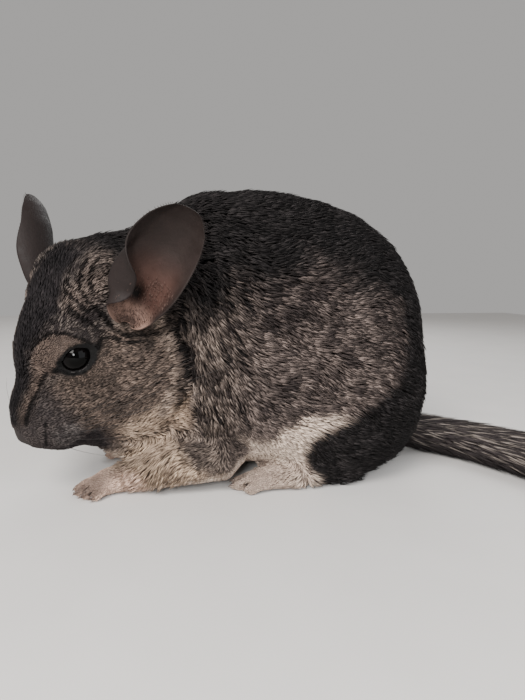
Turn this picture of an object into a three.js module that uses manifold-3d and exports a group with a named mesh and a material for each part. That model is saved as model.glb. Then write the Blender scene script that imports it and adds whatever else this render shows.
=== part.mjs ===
// A life-size chinchilla crouching on a level floor, with its head low and turned to its left.
// Millimetres, +Z up. The animal faces -X, so its left side is the -Y side.
// The solids follow the outline of the coat. The tail is laid out along the floor behind the body.
import * as THREE from "three";
import { mergeVertices } from "three/addons/utils/BufferGeometryUtils.js";
import Module from "manifold-3d";

const wasm = await Module();
wasm.setup();

// Driving dimensions
const BACK_HEIGHT = 118; // top of the back over the floor
const GAP = 0.35; // clearance between neighbouring pieces
const HEAD_YAW = 24; // degrees that the head turns to the animal's left
const HEAD_PITCH = 36; // degrees that the nose points below level
const HEAD_ROLL = 8; // degrees that the left side of the head is lowered
const HEAD_CENTRE = [-68.5, -10, 63.5]; // middle of the cranium
const HEAD_LENGTH = 49; // from the middle of the cranium to the tip of the nose
const EYE_RADIUS = 6.4;
const EYE_AIM = [6.2, 18.3, 3.2]; // ahead, aside and up: where the eye looks, from inside the head
const EYE_SHOWING = 2.8; // how far the eye stands out of the coat beside it
const LID_THICKNESS = 1.5;
const EAR_ROOT = [1.1, 26, 9.3]; // ahead of, beside and above the cranium middle
const EAR_TIP = [-23.2, 50.4, 44.5];
const EAR_FACING = [0.8, 0.59, 0.09];
const EAR_WIDTH = 32; // across the ear when it is opened flat
const EAR_WIDEST = 0.41; // share of the way from its root to its tip
const EAR_LEAN = { forward: 1.7, rearward: 4.9 }; // how far its tip bends off the straight line
const EAR_CURL = { root: 104, tip: 48 }; // degrees that each half of it bends round, low and high
const EAR_ROUNDNESS = 1.83; // how full its outline is, 2 for an ellipse
const EAR_THICKNESS = { root: 0.9, tip: 0.6 };
const FOREPAW_BACK = 13; // how far the right forepaw stands behind the left one
const TAIL_LENGTH = 124; // root to the end of the tail's own core
const TAIL_HAIR = 34; // longest hair of the brush
const TAIL_HEIGHT = 9.5; // half height of the brush, pressed flat by its own weight on the floor
const LOCK_RINGS = 7; // rings of locks from the tail's root to its end
const LOCKS_AROUND = 6; // locks in each ring
const TRUNK_CELL = 9; // size of a surface facet
const NECK_CELL = 6.5;
const HEAD_CELL = 4.1;

const degrees = THREE.MathUtils.degToRad;

// Signed distances, negative inside. A field is a function of x, y and z.

function ellipsoid([cx, cy, cz], [rx, ry, rz]) {
  return (x, y, z) => {
    const [dx, dy, dz] = [(x - cx) / rx, (y - cy) / ry, (z - cz) / rz];
    const share = Math.hypot(dx, dy, dz);
    const slope = Math.hypot(dx / rx, dy / ry, dz / rz);
    return slope > 1e-9 ? (share * (share - 1)) / slope : -Math.min(rx, ry, rz);
  };
}

function taperedRod(a, radiusA, b, radiusB) {
  const d = b.map((v, i) => v - a[i]);
  const squared = d[0] ** 2 + d[1] ** 2 + d[2] ** 2;
  return (x, y, z) => {
    const along = ((x - a[0]) * d[0] + (y - a[1]) * d[1] + (z - a[2]) * d[2]) / squared;
    const t = Math.min(1, Math.max(0, along));
    const off = Math.hypot(x - a[0] - t * d[0], y - a[1] - t * d[1], z - a[2] - t * d[2]);
    return off - radiusA - (radiusB - radiusA) * t;
  };
}

function blend(reach, ...fields) {
  return (x, y, z) => {
    let result = fields[0](x, y, z);
    for (const field of fields.slice(1)) {
      const other = field(x, y, z);
      const near = Math.max(reach - Math.abs(result - other), 0) / reach;
      result = Math.min(result, other) - (near * near * reach) / 4;
    }
    return result;
  };
}

const grown = (field, by) => (x, y, z) => field(x, y, z) - by;

// Meshes

// A closed surface net of a field in the box low to high, with its vertices moved onto the surface.
function surfaceNet(field, low, high, cell) {
  const count = low.map((v, i) => Math.ceil((high[i] - v) / cell) + 1);
  const at = (i, j, k) => (k * count[1] + j) * count[0] + i;
  const values = new Float64Array(count[0] * count[1] * count[2]).fill(cell);
  for (let k = 2; k < count[2] - 1; k++)
    for (let j = 2; j < count[1] - 1; j++)
      for (let i = 2; i < count[0] - 1; i++)
        values[at(i, j, k)] = field(low[0] + i * cell, low[1] + j * cell, low[2] + k * cell);
  separateDiagonals(values, count);
  const corners = [];
  for (let c = 0; c < 8; c++) corners.push([c & 1, (c >> 1) & 1, (c >> 2) & 1]);
  const edges = [];
  for (let a = 0; a < 8; a++)
    for (const bit of [1, 2, 4]) if (!(a & bit)) edges.push([a, a | bit]);
  const vertexOf = new Int32Array(values.length).fill(-1);
  const positions = [];
  for (let k = 0; k < count[2] - 1; k++)
    for (let j = 0; j < count[1] - 1; j++)
      for (let i = 0; i < count[0] - 1; i++) {
        const v = corners.map(([a, b, c]) => values[at(i + a, j + b, k + c)]);
        const sum = [0, 0, 0];
        let crossings = 0;
        for (const [a, b] of edges) {
          if (v[a] < 0 === v[b] < 0) continue;
          const t = v[a] / (v[a] - v[b]);
          for (let n = 0; n < 3; n++) sum[n] += corners[a][n] + t * (corners[b][n] - corners[a][n]);
          crossings++;
        }
        if (!crossings) continue;
        vertexOf[at(i, j, k)] = positions.length / 3;
        const start = sum.map((s, n) => low[n] + ([i, j, k][n] + s / crossings) * cell);
        positions.push(...ontoSurface(field, start, cell));
      }
  const triangles = [];
  for (let k = 1; k < count[2] - 1; k++)
    for (let j = 1; j < count[1] - 1; j++)
      for (let i = 1; i < count[0] - 1; i++)
        for (let axis = 0; axis < 3; axis++) {
          const step = [0, 0, 0];
          step[axis] = 1;
          const inside = values[at(i, j, k)] < 0;
          if (inside === values[at(i + step[0], j + step[1], k + step[2])] < 0) continue;
          const [u, w] = [(axis + 1) % 3, (axis + 2) % 3];
          const quad = [[0, 0], [-1, 0], [-1, -1], [0, -1]].map(([du, dw]) => {
            const cellAt = [i, j, k];
            cellAt[u] += du;
            cellAt[w] += dw;
            return vertexOf[at(...cellAt)];
          });
          if (!inside) quad.reverse();
          triangles.push(...splitQuad(positions, quad));
        }
  return geometryFrom(positions, triangles);
}

// Samples that are inside only across a face's diagonal would give an edge four faces, so one is taken out.
function separateDiagonals(values, count) {
  const strides = [1, count[0], count[0] * count[1]];
  const last = values.length - strides[2] - strides[1] - 1;
  for (let changed = true; changed; ) {
    changed = false;
    for (let a = 0; a < last; a++)
      for (const [u, w] of [[0, 1], [1, 2], [2, 0]]) {
        const [b, c, d] = [a + strides[u], a + strides[u] + strides[w], a + strides[w]];
        const [inA, inB, inC, inD] = [a, b, c, d].map((n) => values[n] < 0);
        if (inA !== inC || inB !== inD || inA === inB) continue;
        values[inA ? a : b] = 1e-3;
        changed = true;
      }
  }
}

function ontoSurface(field, start, cell) {
  const p = [...start];
  const h = cell * 0.02;
  for (let step = 0; step < 4; step++) {
    const value = field(...p);
    const slope = [0, 1, 2].map((n) => {
      const q = [...p];
      q[n] += h;
      return (field(...q) - value) / h;
    });
    const squared = slope[0] ** 2 + slope[1] ** 2 + slope[2] ** 2;
    if (squared < 1e-9) break;
    for (let n = 0; n < 3; n++) {
      const moved = p[n] - (value * slope[n]) / squared;
      p[n] = Math.min(start[n] + cell / 2, Math.max(start[n] - cell / 2, moved));
    }
  }
  return p;
}

// The shorter diagonal splits a quad.
function splitQuad(positions, [a, b, c, d]) {
  const apart = (p, q) => {
    const [dx, dy, dz] = [0, 1, 2].map((n) => positions[3 * p + n] - positions[3 * q + n]);
    return Math.hypot(dx, dy, dz);
  };
  return apart(a, c) <= apart(b, d) ? [a, b, c, a, c, d] : [b, c, d, b, d, a];
}

function geometryFrom(positions, triangles) {
  const geometry = new THREE.BufferGeometry();
  geometry.setAttribute("position", new THREE.BufferAttribute(new Float32Array(positions), 3));
  geometry.setIndex(triangles);
  return geometry;
}

// A closed grid of rings: rows[i][j] is a point and each row is a loop. Both ends close in a fan to a
// point, or, for the loop of a thin sheet, in a strip from its first half to its second half.
function closedRings(rows, startPoint, endPoint) {
  const sides = rows[0].length;
  const positions = rows.flat(2);
  const triangles = [];
  for (let i = 0; i + 1 < rows.length; i++)
    for (let j = 0; j < sides; j++) {
      const next = (j + 1) % sides;
      const [a, b, c, d] = [i * sides + j, i * sides + next, (i + 1) * sides + next, (i + 1) * sides + j];
      triangles.push(...splitQuad(positions, [a, b, c, d]));
    }
  const last = (rows.length - 1) * sides;
  if (!startPoint) {
    for (let j = 0; j + 1 < sides / 2; j++) {
      const strip = [j, sides - 1 - j, sides - 2 - j, j + 1];
      triangles.push(...splitQuad(positions, strip));
      triangles.push(...splitQuad(positions, strip.map((n) => last + n).reverse()));
    }
    return geometryFrom(positions, triangles);
  }
  const startIndex = positions.length / 3;
  positions.push(...startPoint, ...endPoint);
  for (let j = 0; j < sides; j++) {
    const next = (j + 1) % sides;
    triangles.push(startIndex, next, j);
    triangles.push(startIndex + 1, last + j, last + next);
  }
  return geometryFrom(positions, triangles);
}

// A closed body along a path. Its oval sections have the half widths aside and half heights toward upright.
function tube(path, halfWidths, halfHeights, sides, upright) {
  const points = path.map((p) => new THREE.Vector3(...p));
  const rows = halfWidths.map((halfWidth, i) => {
    const along = points[i + 2].clone().sub(points[i]).normalize();
    const aside = new THREE.Vector3(...upright).cross(along).normalize();
    const over = along.clone().cross(aside);
    return Array.from({ length: sides }, (_, n) => {
      const angle = (2 * Math.PI * (n + 0.5)) / sides;
      return points[i + 1]
        .clone()
        .addScaledVector(aside, halfWidth * Math.cos(angle))
        .addScaledVector(over, halfHeights[i] * Math.sin(angle))
        .toArray();
    });
  });
  return solidOf(closedRings(rows, path[0], path.at(-1)));
}

function ball(centre, radii, by = 0, columns = 16, rows = 10) {
  const shape = new THREE.SphereGeometry(1, columns, rows);
  shape.rotateX(Math.PI / 2);
  shape.scale(...radii.map((r) => r + by));
  shape.translate(...centre);
  return solidOf(shape);
}

// Solids

function solidOf(geometry) {
  const hasSeams = geometry.hasAttribute("uv");
  const bare = geometry.clone();
  bare.deleteAttribute("normal");
  bare.deleteAttribute("uv");
  const shape = hasSeams ? mergeVertices(bare, 1e-4) : bare;
  const build = (triVerts) =>
    new wasm.Manifold(
      new wasm.Mesh({ numProp: 3, vertProperties: shape.attributes.position.array, triVerts }),
    );
  const triangles = new Uint32Array(shape.index.array);
  const solid = build(triangles);
  if (solid.volume() >= 0) return solid;
  for (let i = 0; i < triangles.length; i += 3)
    [triangles[i + 1], triangles[i + 2]] = [triangles[i + 2], triangles[i + 1]];
  return build(triangles);
}

const union = (solids) => solids.reduce((all, solid) => all.add(solid));

function largest(solid) {
  return solid.decompose().reduce((best, piece) => (piece.volume() > best.volume() ? piece : best));
}

const nodes = new THREE.Group();

function addNode(name, solid, material) {
  const { numProp, numVert, vertProperties, triVerts } = largest(solid).getMesh();
  const positions = new Float32Array(numVert * 3);
  for (let i = 0; i < numVert; i++)
    positions.set(vertProperties.subarray(i * numProp, i * numProp + 3), 3 * i);
  const geometry = geometryFrom(positions, new THREE.BufferAttribute(triVerts, 1));
  geometry.computeVertexNormals();
  const mesh = new THREE.Mesh(geometry, material);
  mesh.name = name;
  nodes.add(mesh);
}

const finish = (color, roughness) => new THREE.MeshStandardMaterial({ color, roughness, metalness: 0 });
const coat = finish(0x4a474a, 0.9);
const earSkin = finish(0x5d4f4b, 0.7);
const eyeGloss = finish(0x0a0808, 0.12);
const brush = finish(0x2e2b2d, 0.9);

// A box whose top face passes through a point and faces along a normal.
function halfSpace(point, normal) {
  const size = 500;
  const box = new THREE.BoxGeometry(size, size, size);
  box.translate(0, 0, -size / 2);
  const turn = new THREE.Quaternion().setFromUnitVectors(
    new THREE.Vector3(0, 0, 1),
    new THREE.Vector3(...normal).normalize(),
  );
  box.applyQuaternion(turn);
  box.translate(...point);
  return solidOf(box);
}

const belowFloor = halfSpace([0, 0, 0], [0, 0, 1]);
const onFloor = (solid) => solid.subtract(belowFloor);

// The head's own axes: ahead, to the animal's left and up.
const [yaw, pitch, roll] = [HEAD_YAW, HEAD_PITCH, HEAD_ROLL].map(degrees);
const ahead = new THREE.Vector3(
  -Math.cos(yaw) * Math.cos(pitch),
  -Math.sin(yaw) * Math.cos(pitch),
  -Math.sin(pitch),
);
const levelLeft = new THREE.Vector3(Math.sin(yaw), -Math.cos(yaw), 0);
const left = levelLeft.clone().applyAxisAngle(ahead, -roll);
const up = ahead.clone().cross(left);
const headFrame = new THREE.Matrix4()
  .makeBasis(ahead, left, up)
  .setPosition(...HEAD_CENTRE);

// A point of the head given as ahead, left and up of the cranium's middle, in the part's frame.
const onHead = ([a, l, u]) => new THREE.Vector3(a, l, u).applyMatrix4(headFrame).toArray();

function inHeadFrame(field) {
  const [cx, cy, cz] = HEAD_CENTRE;
  return (x, y, z) => {
    const [dx, dy, dz] = [x - cx, y - cy, z - cz];
    return field(
      dx * ahead.x + dy * ahead.y + dz * ahead.z,
      dx * left.x + dy * left.y + dz * left.z,
      dx * up.x + dy * up.y + dz * up.z,
    );
  };
}

const bothSides = [
  ["left", 1],
  ["right", -1],
];

// Head: high furry crown, full cheeks, blunt muzzle with whisker pads and a small chin.
const skullShape = blend(
  7,
  ellipsoid([-4, 0, 4], [28, 25, 27]),
  ellipsoid([15, 0, 7], [19, 16, 15]),
  taperedRod([-3, 13, 20.5], 12, [12, 9.5, 13.5], 8.5),
  taperedRod([-3, -13, 20.5], 12, [12, -9.5, 13.5], 8.5),
  ellipsoid([1, 13, -10], [22, 15, 19]),
  ellipsoid([1, -13, -10], [22, 15, 19]),
  ellipsoid([17, 9, -12], [18, 13, 15]),
  ellipsoid([17, -9, -12], [18, 13, 15]),
  taperedRod([14, 0, 0], 18, [35, 0, -9], 12),
  ellipsoid([35, 6, -18.5], [9.5, 7.5, 8.5]),
  ellipsoid([35, -6, -18.5], [9.5, 7.5, 8.5]),
  ellipsoid([27, 0, -26], [9.5, 8.5, 8]),
  taperedRod([35, 0, -9], 9.5, [HEAD_LENGTH - 4.8, 0, -13.5], 4.8),
);

// Each eye lies on a line from inside the head and stands a little out of the coat.
const eyes = bothSides.map(([side, sign]) => {
  const aim = new THREE.Vector3(EYE_AIM[0], sign * EYE_AIM[1], EYE_AIM[2]).normalize().toArray();
  const along = (reach) => [14, 0, 4].map((v, i) => v + aim[i] * reach);
  let reach = 10;
  while (skullShape(...along(reach)) < 0) reach += 0.05;
  return { side, aim, middle: along(reach + EYE_SHOWING - EYE_RADIUS) };
});
const orbits = eyes.map(({ middle }) => taperedRod(middle, EYE_RADIUS + LID_THICKNESS, [14, 0, 0], 8));
const headShape = blend(4, skullShape, ...orbits);
const head = inHeadFrame(headShape);

// Trunk: one rounded mass from the rump to the chest, with the shoulders and haunches bulging a little.
const rump = ellipsoid([16, 0, 60], [57, 51, BACK_HEIGHT - 61]);
const back = ellipsoid([-2, 0, 68], [46, 45, BACK_HEIGHT - 68]);
const thorax = ellipsoid([-18, 0, 64], [44, 46, 52]);
const belly = ellipsoid([2, 0, 34], [52, 44, 29]);
const chest = ellipsoid([-56, -2, 36], [22, 24, 29]);
const nape = taperedRod([-30, 0, 76], 38, [-62, -6, 74], 25);
const haunches = bothSides.map(([, sign]) => ellipsoid([28, -sign * 31, 37], [34, 22, 36]));
const trunk = blend(12, rump, back, thorax, belly, chest, nape, head, ...haunches);

// Cuts between the head, neck and torso, each a point and the direction of the side in front.
const headCut = [[-56, -4, 76], [-0.9, -0.16, 0.4]];
const neckCut = [[-40, -2, 76], [-0.93, -0.1, 0.35]];
const behind = ([point, normal], by = 0) =>
  halfSpace(point.map((v, i) => v - (by * normal[i]) / Math.hypot(...normal)), normal);

const netBox = (x0, x1, y0, y1, z0, z1) => [[x0, y0, z0], [x1, y1, z1]];
const meshed = (field, box, cell) => solidOf(surfaceNet(field, ...box, cell));
const trunkSolid = onFloor(meshed(trunk, netBox(-92, 92, -66, 66, -16, 132), TRUNK_CELL));
const neckSolid = onFloor(meshed(trunk, netBox(-102, 4, -60, 60, -12, 132), NECK_CELL));
const headBox = netBox(-130, -20, -66, 50, -8, 122);
const headSolid = meshed(trunk, headBox, HEAD_CELL);
const aroundHead = meshed(grown(trunk, GAP), headBox, HEAD_CELL);

// Forelegs: shoulder and elbow in the coat, a forearm sloping to the floor and a paw turned out a little.
const FOREPAW = { centre: [-70.5, 20], turn: 28, toes: [[-5.2, 8.6], [-1.8, 10.4], [1.8, 10], [5.2, 8]] };
const HINDPAW = { centre: [-7, 31], turn: -6, toes: [[-7.4, 6], [-3.1, 14], [1.5, 15], [6, 10.5]] };

// A point of a paw: ahead and outward of its middle, and over the floor.
function onPaw(paw, sign, ahead, outward, height) {
  const turn = degrees(paw.turn);
  const x = paw.centre[0] - ahead * Math.cos(turn) + outward * Math.sin(turn);
  const y = paw.centre[1] + ahead * Math.sin(turn) + outward * Math.cos(turn);
  return [x, -sign * y, height];
}

// Toes with a swollen end pad and a short claw over it.
function toesOf(paw, sign, radius) {
  return union(
    paw.toes.map(([outward, reach]) => {
      const at = (share, height, spread = 1) =>
        onPaw(paw, sign, reach * share, outward * spread, height);
      const path = [at(-0.5, 4, 0.7), at(0, 4, 0.8), at(0.5, 3.2, 1), at(0.82, 1.6, 1.1), at(1, 1.4, 1.15)];
      const sizes = [radius, radius * 0.92, radius * 0.86];
      const claw = [at(0.8, 3, 1.08), at(0.9, 2.9, 1.12), at(1.02, 2.2, 1.16), at(1.1, 1.4, 1.18)];
      return tube(path, sizes, sizes, 6, [0, 0, 1]).add(tube(claw, [0.7, 0.6], [0.8, 0.6], 5, [0, 0, 1]));
    }),
  );
}

// The right forepaw stands farther back, and its forearm is bent to follow.
const forepawOf = (sign) =>
  sign > 0 ? FOREPAW : { ...FOREPAW, centre: [FOREPAW.centre[0] + FOREPAW_BACK, FOREPAW.centre[1]] };

function foreleg(sign, by) {
  const y = -sign;
  const back = sign > 0 ? 0 : FOREPAW_BACK;
  const paw = forepawOf(sign);
  const path = [
    [-15, y * 29, 17],
    [-18, y * 29, 17],
    [-25 + back * 0.1, y * 29.5, 15],
    [-36 + back * 0.4, y * 28, 13.5],
    [-49 + back * 0.8, y * 24.5, 11],
    [-61 + back, y * 20.5, 6.8],
    onPaw(paw, sign, -2, 0, 4.1),
    onPaw(paw, sign, 3.5, 0, 3),
    onPaw(paw, sign, 6, 0, 2.6),
  ];
  const widths = [5, 8.5, 9.2, 8.2, 5.6, 6.6, 6].map((w) => w + by);
  const heights = [6, 10.5, 11, 8.8, 5.8, 4.6, 3.2].map((h) => h + by);
  return tube(path, widths, heights, 12, [0, 0, 1]);
}

function hindfoot(sign, by) {
  const y = -sign;
  const path = [
    [34, y * 35, 8],
    [31.5, y * 35, 8],
    [25, y * 35.5, 7.5],
    [10, y * 34.5, 6.8],
    onPaw(HINDPAW, sign, -4, 0, 4.6),
    onPaw(HINDPAW, sign, 3, 0, 3.2),
    onPaw(HINDPAW, sign, 6, 0, 2.8),
  ];
  const widths = [4, 7, 7.6, 7.8, 7].map((w) => w + by);
  const heights = [4, 8, 7, 5, 3.4].map((h) => h + by);
  return tube(path, widths, heights, 12, [0, 0, 1]);
}

const legs = [];
for (const [side, sign] of bothSides) {
  const thigh = [[28, -sign * 55, 32], [33, 31, 35]];
  const shoulder = [[-38, -sign * 45, 24], [17, 24, 23]];
  for (const [name, [centre, radii], limb, paw, toeRadius] of [
    [`hindleg_${side}`, thigh, hindfoot, HINDPAW, 2.7],
    [`foreleg_${side}`, shoulder, foreleg, forepawOf(sign), 2.3],
  ]) {
    const upper = trunkSolid.intersect(ball(centre, radii));
    legs.push({
      name,
      solid: onFloor(union([upper, limb(sign, 0), toesOf(paw, sign, toeRadius)])),
      around: ball(centre, radii, GAP).add(limb(sign, GAP)),
    });
  }
}
const aroundLegs = union(legs.map((leg) => leg.around));
for (const leg of legs) addNode(leg.name, leg.solid, coat);

// Torso and neck
addNode("torso", trunkSolid.intersect(behind(neckCut, GAP)).subtract(aroundLegs), coat);
const neck = neckSolid.intersect(behind(headCut, GAP)).subtract(behind(neckCut));
addNode("neck", neck.subtract(aroundLegs), coat);

// A prism whose loop of [aside, up] points starts at origin and runs along a direction.
function prism(loop, origin, along, upright, length) {
  const axis = new THREE.Vector3(...along).normalize();
  const aside = new THREE.Vector3(...upright).cross(axis).normalize();
  const over = axis.clone().cross(aside);
  const at = (far, [a, o]) =>
    new THREE.Vector3(...origin)
      .addScaledVector(axis, far)
      .addScaledVector(aside, a)
      .addScaledVector(over, o)
      .toArray();
  const rows = [0, length].map((far) => loop.map((p) => at(far, p)));
  return solidOf(closedRings(rows, at(0, [0, 0]), at(length, [0, 0])));
}

const directionOnHead = ([a, l, u]) =>
  new THREE.Vector3(a, l, u).transformDirection(headFrame).toArray();

// Eyes in sockets, under lids that leave an almond opening.
const almond = Array.from({ length: 14 }, (_, n) => {
  const angle = (2 * Math.PI * n) / 14;
  const rise = Math.sin(angle) * Math.abs(Math.sin(angle)) ** 0.25;
  return [5.9 * Math.cos(angle), (rise > 0 ? 4.6 : 3.8) * rise];
});
const raised = [];
const hollows = [];
for (const { side, aim, middle } of eyes) {
  const place = onHead(middle);
  const radii = [EYE_RADIUS, EYE_RADIUS, EYE_RADIUS];
  addNode(`eye_${side}`, ball(place, radii, 0, 16, 10), eyeGloss);
  hollows.push(ball(place, radii, GAP, 16, 10));
  hollows.push(prism(almond, place, directionOnHead(aim), directionOnHead([0.1, 0, 1]), 20));
}

// Nose, nostrils, and the groove of the lips from the nose down and back along both sides.
const onMuzzle = (points) => points.map((p) => onHead(ontoSurface(headShape, p, 24)));
const nosePad = ball([0, 0, 0], [3, 4, 3.2], 0, 12, 8);
const turnedToHead = (solid, place) => {
  const [x, y, z] = onHead(place);
  const m = [ahead, left, up].flatMap((v) => [...v.toArray(), 0]);
  return solid.transform([...m, x, y, z, 1]);
};
raised.push(turnedToHead(nosePad, [HEAD_LENGTH - 1.8, 0, -12.8]));
const nostril = ball([0, 0, 0], [1.9, 0.9, 1.3], 0, 8, 6);
for (const [, sign] of bothSides)
  hollows.push(turnedToHead(nostril, [HEAD_LENGTH + 0.9, sign * 2.1, -13]));
const philtrum = onMuzzle([[48, 0, -16], [47, 0, -17.5], [44, 0, -21.5], [39, 0, -25.5], [38, 0, -26.5]]);
hollows.push(tube(philtrum, [0.7, 0.8, 0.7], [1.2, 1.5, 1.2], 6, directionOnHead([0.8, 0, -0.6])));
for (const [, sign] of bothSides) {
  const lip = onMuzzle([
    [39, 0, -26],
    [38.5, sign * 1.5, -26],
    [34, sign * 7, -26],
    [28, sign * 11, -24.5],
    [21, sign * 14, -22.5],
    [18, sign * 16, -21.5],
  ]);
  const outOfLip = directionOnHead([0.3, sign * 0.3, -1]);
  hollows.push(tube(lip, [0.8, 0.9, 0.8, 0.6], [1.4, 1.5, 1.3, 0.9], 6, outOfLip));
}

const headWithFace = headSolid.subtract(behind(headCut)).add(union(raised)).subtract(union(hollows));
addNode("head", headWithFace, coat);

// Ears: large thin cups, deep and closed at the root and open toward the tip, facing forward and outward.
function earShell(sign) {
  const mirrored = ([a, l, u]) => [a, sign * l, u];
  const root = new THREE.Vector3(...onHead(mirrored(EAR_ROOT)));
  const tip = new THREE.Vector3(...onHead(mirrored(EAR_TIP)));
  const along = tip.clone().sub(root);
  const length = along.length();
  along.normalize();
  const facing = new THREE.Vector3(...directionOnHead(mirrored(EAR_FACING)));
  facing.addScaledVector(along, -facing.dot(along)).normalize();
  const aside = along.clone().cross(facing);
  const columns = 9;
  const rows = [0.012, 0.05, 0.13, 0.24, 0.38, 0.53, 0.68, 0.81, 0.91, 0.98].map((share) => {
    const reach = share < EAR_WIDEST ? EAR_WIDEST : 1 - EAR_WIDEST;
    const off = (Math.abs(share - EAR_WIDEST) / reach) ** EAR_ROUNDNESS;
    const halfArc = (EAR_WIDTH / 2) * Math.sqrt(1 - off);
    const opened = Math.min(1, share / 0.85) ** 1.2;
    const curl = degrees(EAR_CURL.root + (EAR_CURL.tip - EAR_CURL.root) * opened);
    const radius = halfArc / curl;
    const thick = EAR_THICKNESS.root + (EAR_THICKNESS.tip - EAR_THICKNESS.root) * share;
    const setBack = Math.min(0.35 * radius, 7 * share);
    const lift = radius - setBack + EAR_LEAN.forward * share ** 2;
    const lean = sign * EAR_LEAN.rearward * share ** 2;
    return [1, -1].flatMap((face) =>
      Array.from({ length: columns }, (_, n) => {
        const across = ((2 * n) / (columns - 1) - 1) * face;
        const from = radius - face * thick * (1 - 0.45 * Math.abs(across) ** 3);
        return root
          .clone()
          .addScaledVector(along, share * length)
          .addScaledVector(aside, from * Math.sin(across * curl) + lean)
          .addScaledVector(facing, lift - from * Math.cos(across * curl))
          .toArray();
      }),
    );
  });
  return solidOf(closedRings(rows));
}
for (const [side, sign] of bothSides)
  addNode(`ear_${side}`, earShell(sign).subtract(aroundHead), earSkin);

// Tail: from under the rump it curves along the floor to the animal's left, in three lengths.
const tailPath = new THREE.CatmullRomCurve3(
  [
    [50, 0, 20],
    [72, -3, 11],
    [92, -15, 8.5],
    [106, -37, 8],
    [114, -63, 8],
    [118, -91, 8],
    [119, -118, 7.5],
  ].map((p) => new THREE.Vector3(...p)),
);
const hairPath = tailPath.getLength();
const coreShare = TAIL_LENGTH / hairPath;

// Half width of the whole tail out to its longest tips, at a share of the way there.
function brushWidth(share) {
  const swell = Math.sin(Math.PI * Math.min(1, share) ** 1.4);
  const narrowing = 7 * (Math.max(0, share - 0.6) / 0.4) ** 2;
  return 9 + 9 * swell - narrowing;
}

function tailCore() {
  const shares = [0, 0.1, 0.25, 0.4, 0.55, 0.7, 0.85, 1].map((t) => t * coreShare * 0.97);
  const path = [[46, 0, 21], ...shares.map((t) => tailPath.getPointAt(t).toArray())];
  path.push(tailPath.getPointAt(coreShare).toArray());
  const sizes = shares.map((t) => Math.min(0.5 * brushWidth(t), 7) - 3 * t);
  sizes[0] += 1.5;
  return tube(path, sizes, sizes, 8, [0, 0, 1]);
}

// Numbers from 0 to 1 that come out the same every time.
let seed = 20;
function random() {
  seed = (seed + 0x6d2b79f5) | 0;
  let t = Math.imul(seed ^ (seed >>> 15), 1 | seed);
  t = (t + Math.imul(t ^ (t >>> 7), 61 | t)) ^ t;
  return ((t ^ (t >>> 14)) >>> 0) / 4294967296;
}
const between = (low, high) => low + (high - low) * random();

// A flat tapering lock leaves the core, lies back along the tail and bends in toward its own tip.
function lock(rootShare, angle) {
  const hair = Math.min(TAIL_HAIR, 17 + 30 * rootShare) * between(0.85, 1.05);
  const reach = Math.min((1.15 * hair) / hairPath, 0.995 - rootShare);
  const twist = between(-0.16, 0.16);
  const loft = between(0.88, 1.04);
  const at = (along, out) => {
    const share = rootShare + along * reach;
    const middle = tailPath.getPointAt(share);
    const tangent = tailPath.getTangentAt(share);
    const aside = new THREE.Vector3(0, 0, 1).cross(tangent).normalize();
    const over = tangent.clone().cross(aside);
    const turn = angle + twist * along;
    const wide = out * loft * brushWidth(share);
    const high = Math.min(wide, out * loft * TAIL_HEIGHT);
    middle.addScaledVector(aside, wide * Math.cos(turn)).addScaledVector(over, high * Math.sin(turn));
    middle.z = Math.max(middle.z, 1);
    return middle.toArray();
  };
  const path = [at(0, 0.3), at(0.1, 0.45), at(0.35, 0.74), at(0.7, 0.93), at(1, between(0.82, 1.02))];
  const upright = new THREE.Vector3(...at(0.35, 1)).sub(new THREE.Vector3(...at(0.35, 0))).toArray();
  const widest = between(4.6, 6);
  return tube(path, [widest * 0.8, widest, widest * 0.66], [1.7, 1.35, 0.95], 4, upright);
}

const locks = [];
for (let ring = 0; ring < LOCK_RINGS; ring++)
  for (let n = 0; n < LOCKS_AROUND; n++) {
    const rootShare = (coreShare * (ring + between(-0.3, 0.3) + 0.7)) / LOCK_RINGS;
    const turns = (n + (ring % 2) / 2 + between(-0.15, 0.15)) / LOCKS_AROUND;
    locks.push(lock(rootShare, 2 * Math.PI * turns));
  }
for (let n = 0; n < 4; n++) locks.push(lock(coreShare * 0.97, (2 * Math.PI * n) / 4));

const tailSolid = onFloor(union([tailCore(), ...locks]));
const tailCuts = [0.34, 0.6].map((t) => [
  tailPath.getPointAt(t).toArray(),
  tailPath.getTangentAt(t).toArray(),
]);
const rumpAround = meshed(grown(trunk, GAP), netBox(30, 100, -60, 60, -16, 132), TRUNK_CELL);
addNode("tail_base", tailSolid.intersect(behind(tailCuts[0], GAP)).subtract(rumpAround), brush);
addNode("tail_middle", tailSolid.subtract(behind(tailCuts[0])).intersect(behind(tailCuts[1], GAP)), brush);
addNode("tail_tip", tailSolid.subtract(behind(tailCuts[1])), brush);

// The origin is the middle of the underside of the whole.
const bounds = new THREE.Box3().setFromObject(nodes);
const centre = bounds.getCenter(new THREE.Vector3());
nodes.position.set(-centre.x, -centre.y, -bounds.min.z);

export default nodes;
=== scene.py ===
# The coat, skin, ears, eyes, feet and tail of a life-size chinchilla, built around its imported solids.
# Shapes are worked out in millimetres in the body's own frame: the animal faces -X, its left side is
# -Y, +Z is up, and the floor is z = 0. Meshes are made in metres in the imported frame.
import math

import bmesh
import bpy
import numpy as np
from mathutils import Matrix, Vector
from mathutils.kdtree import KDTree


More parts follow.
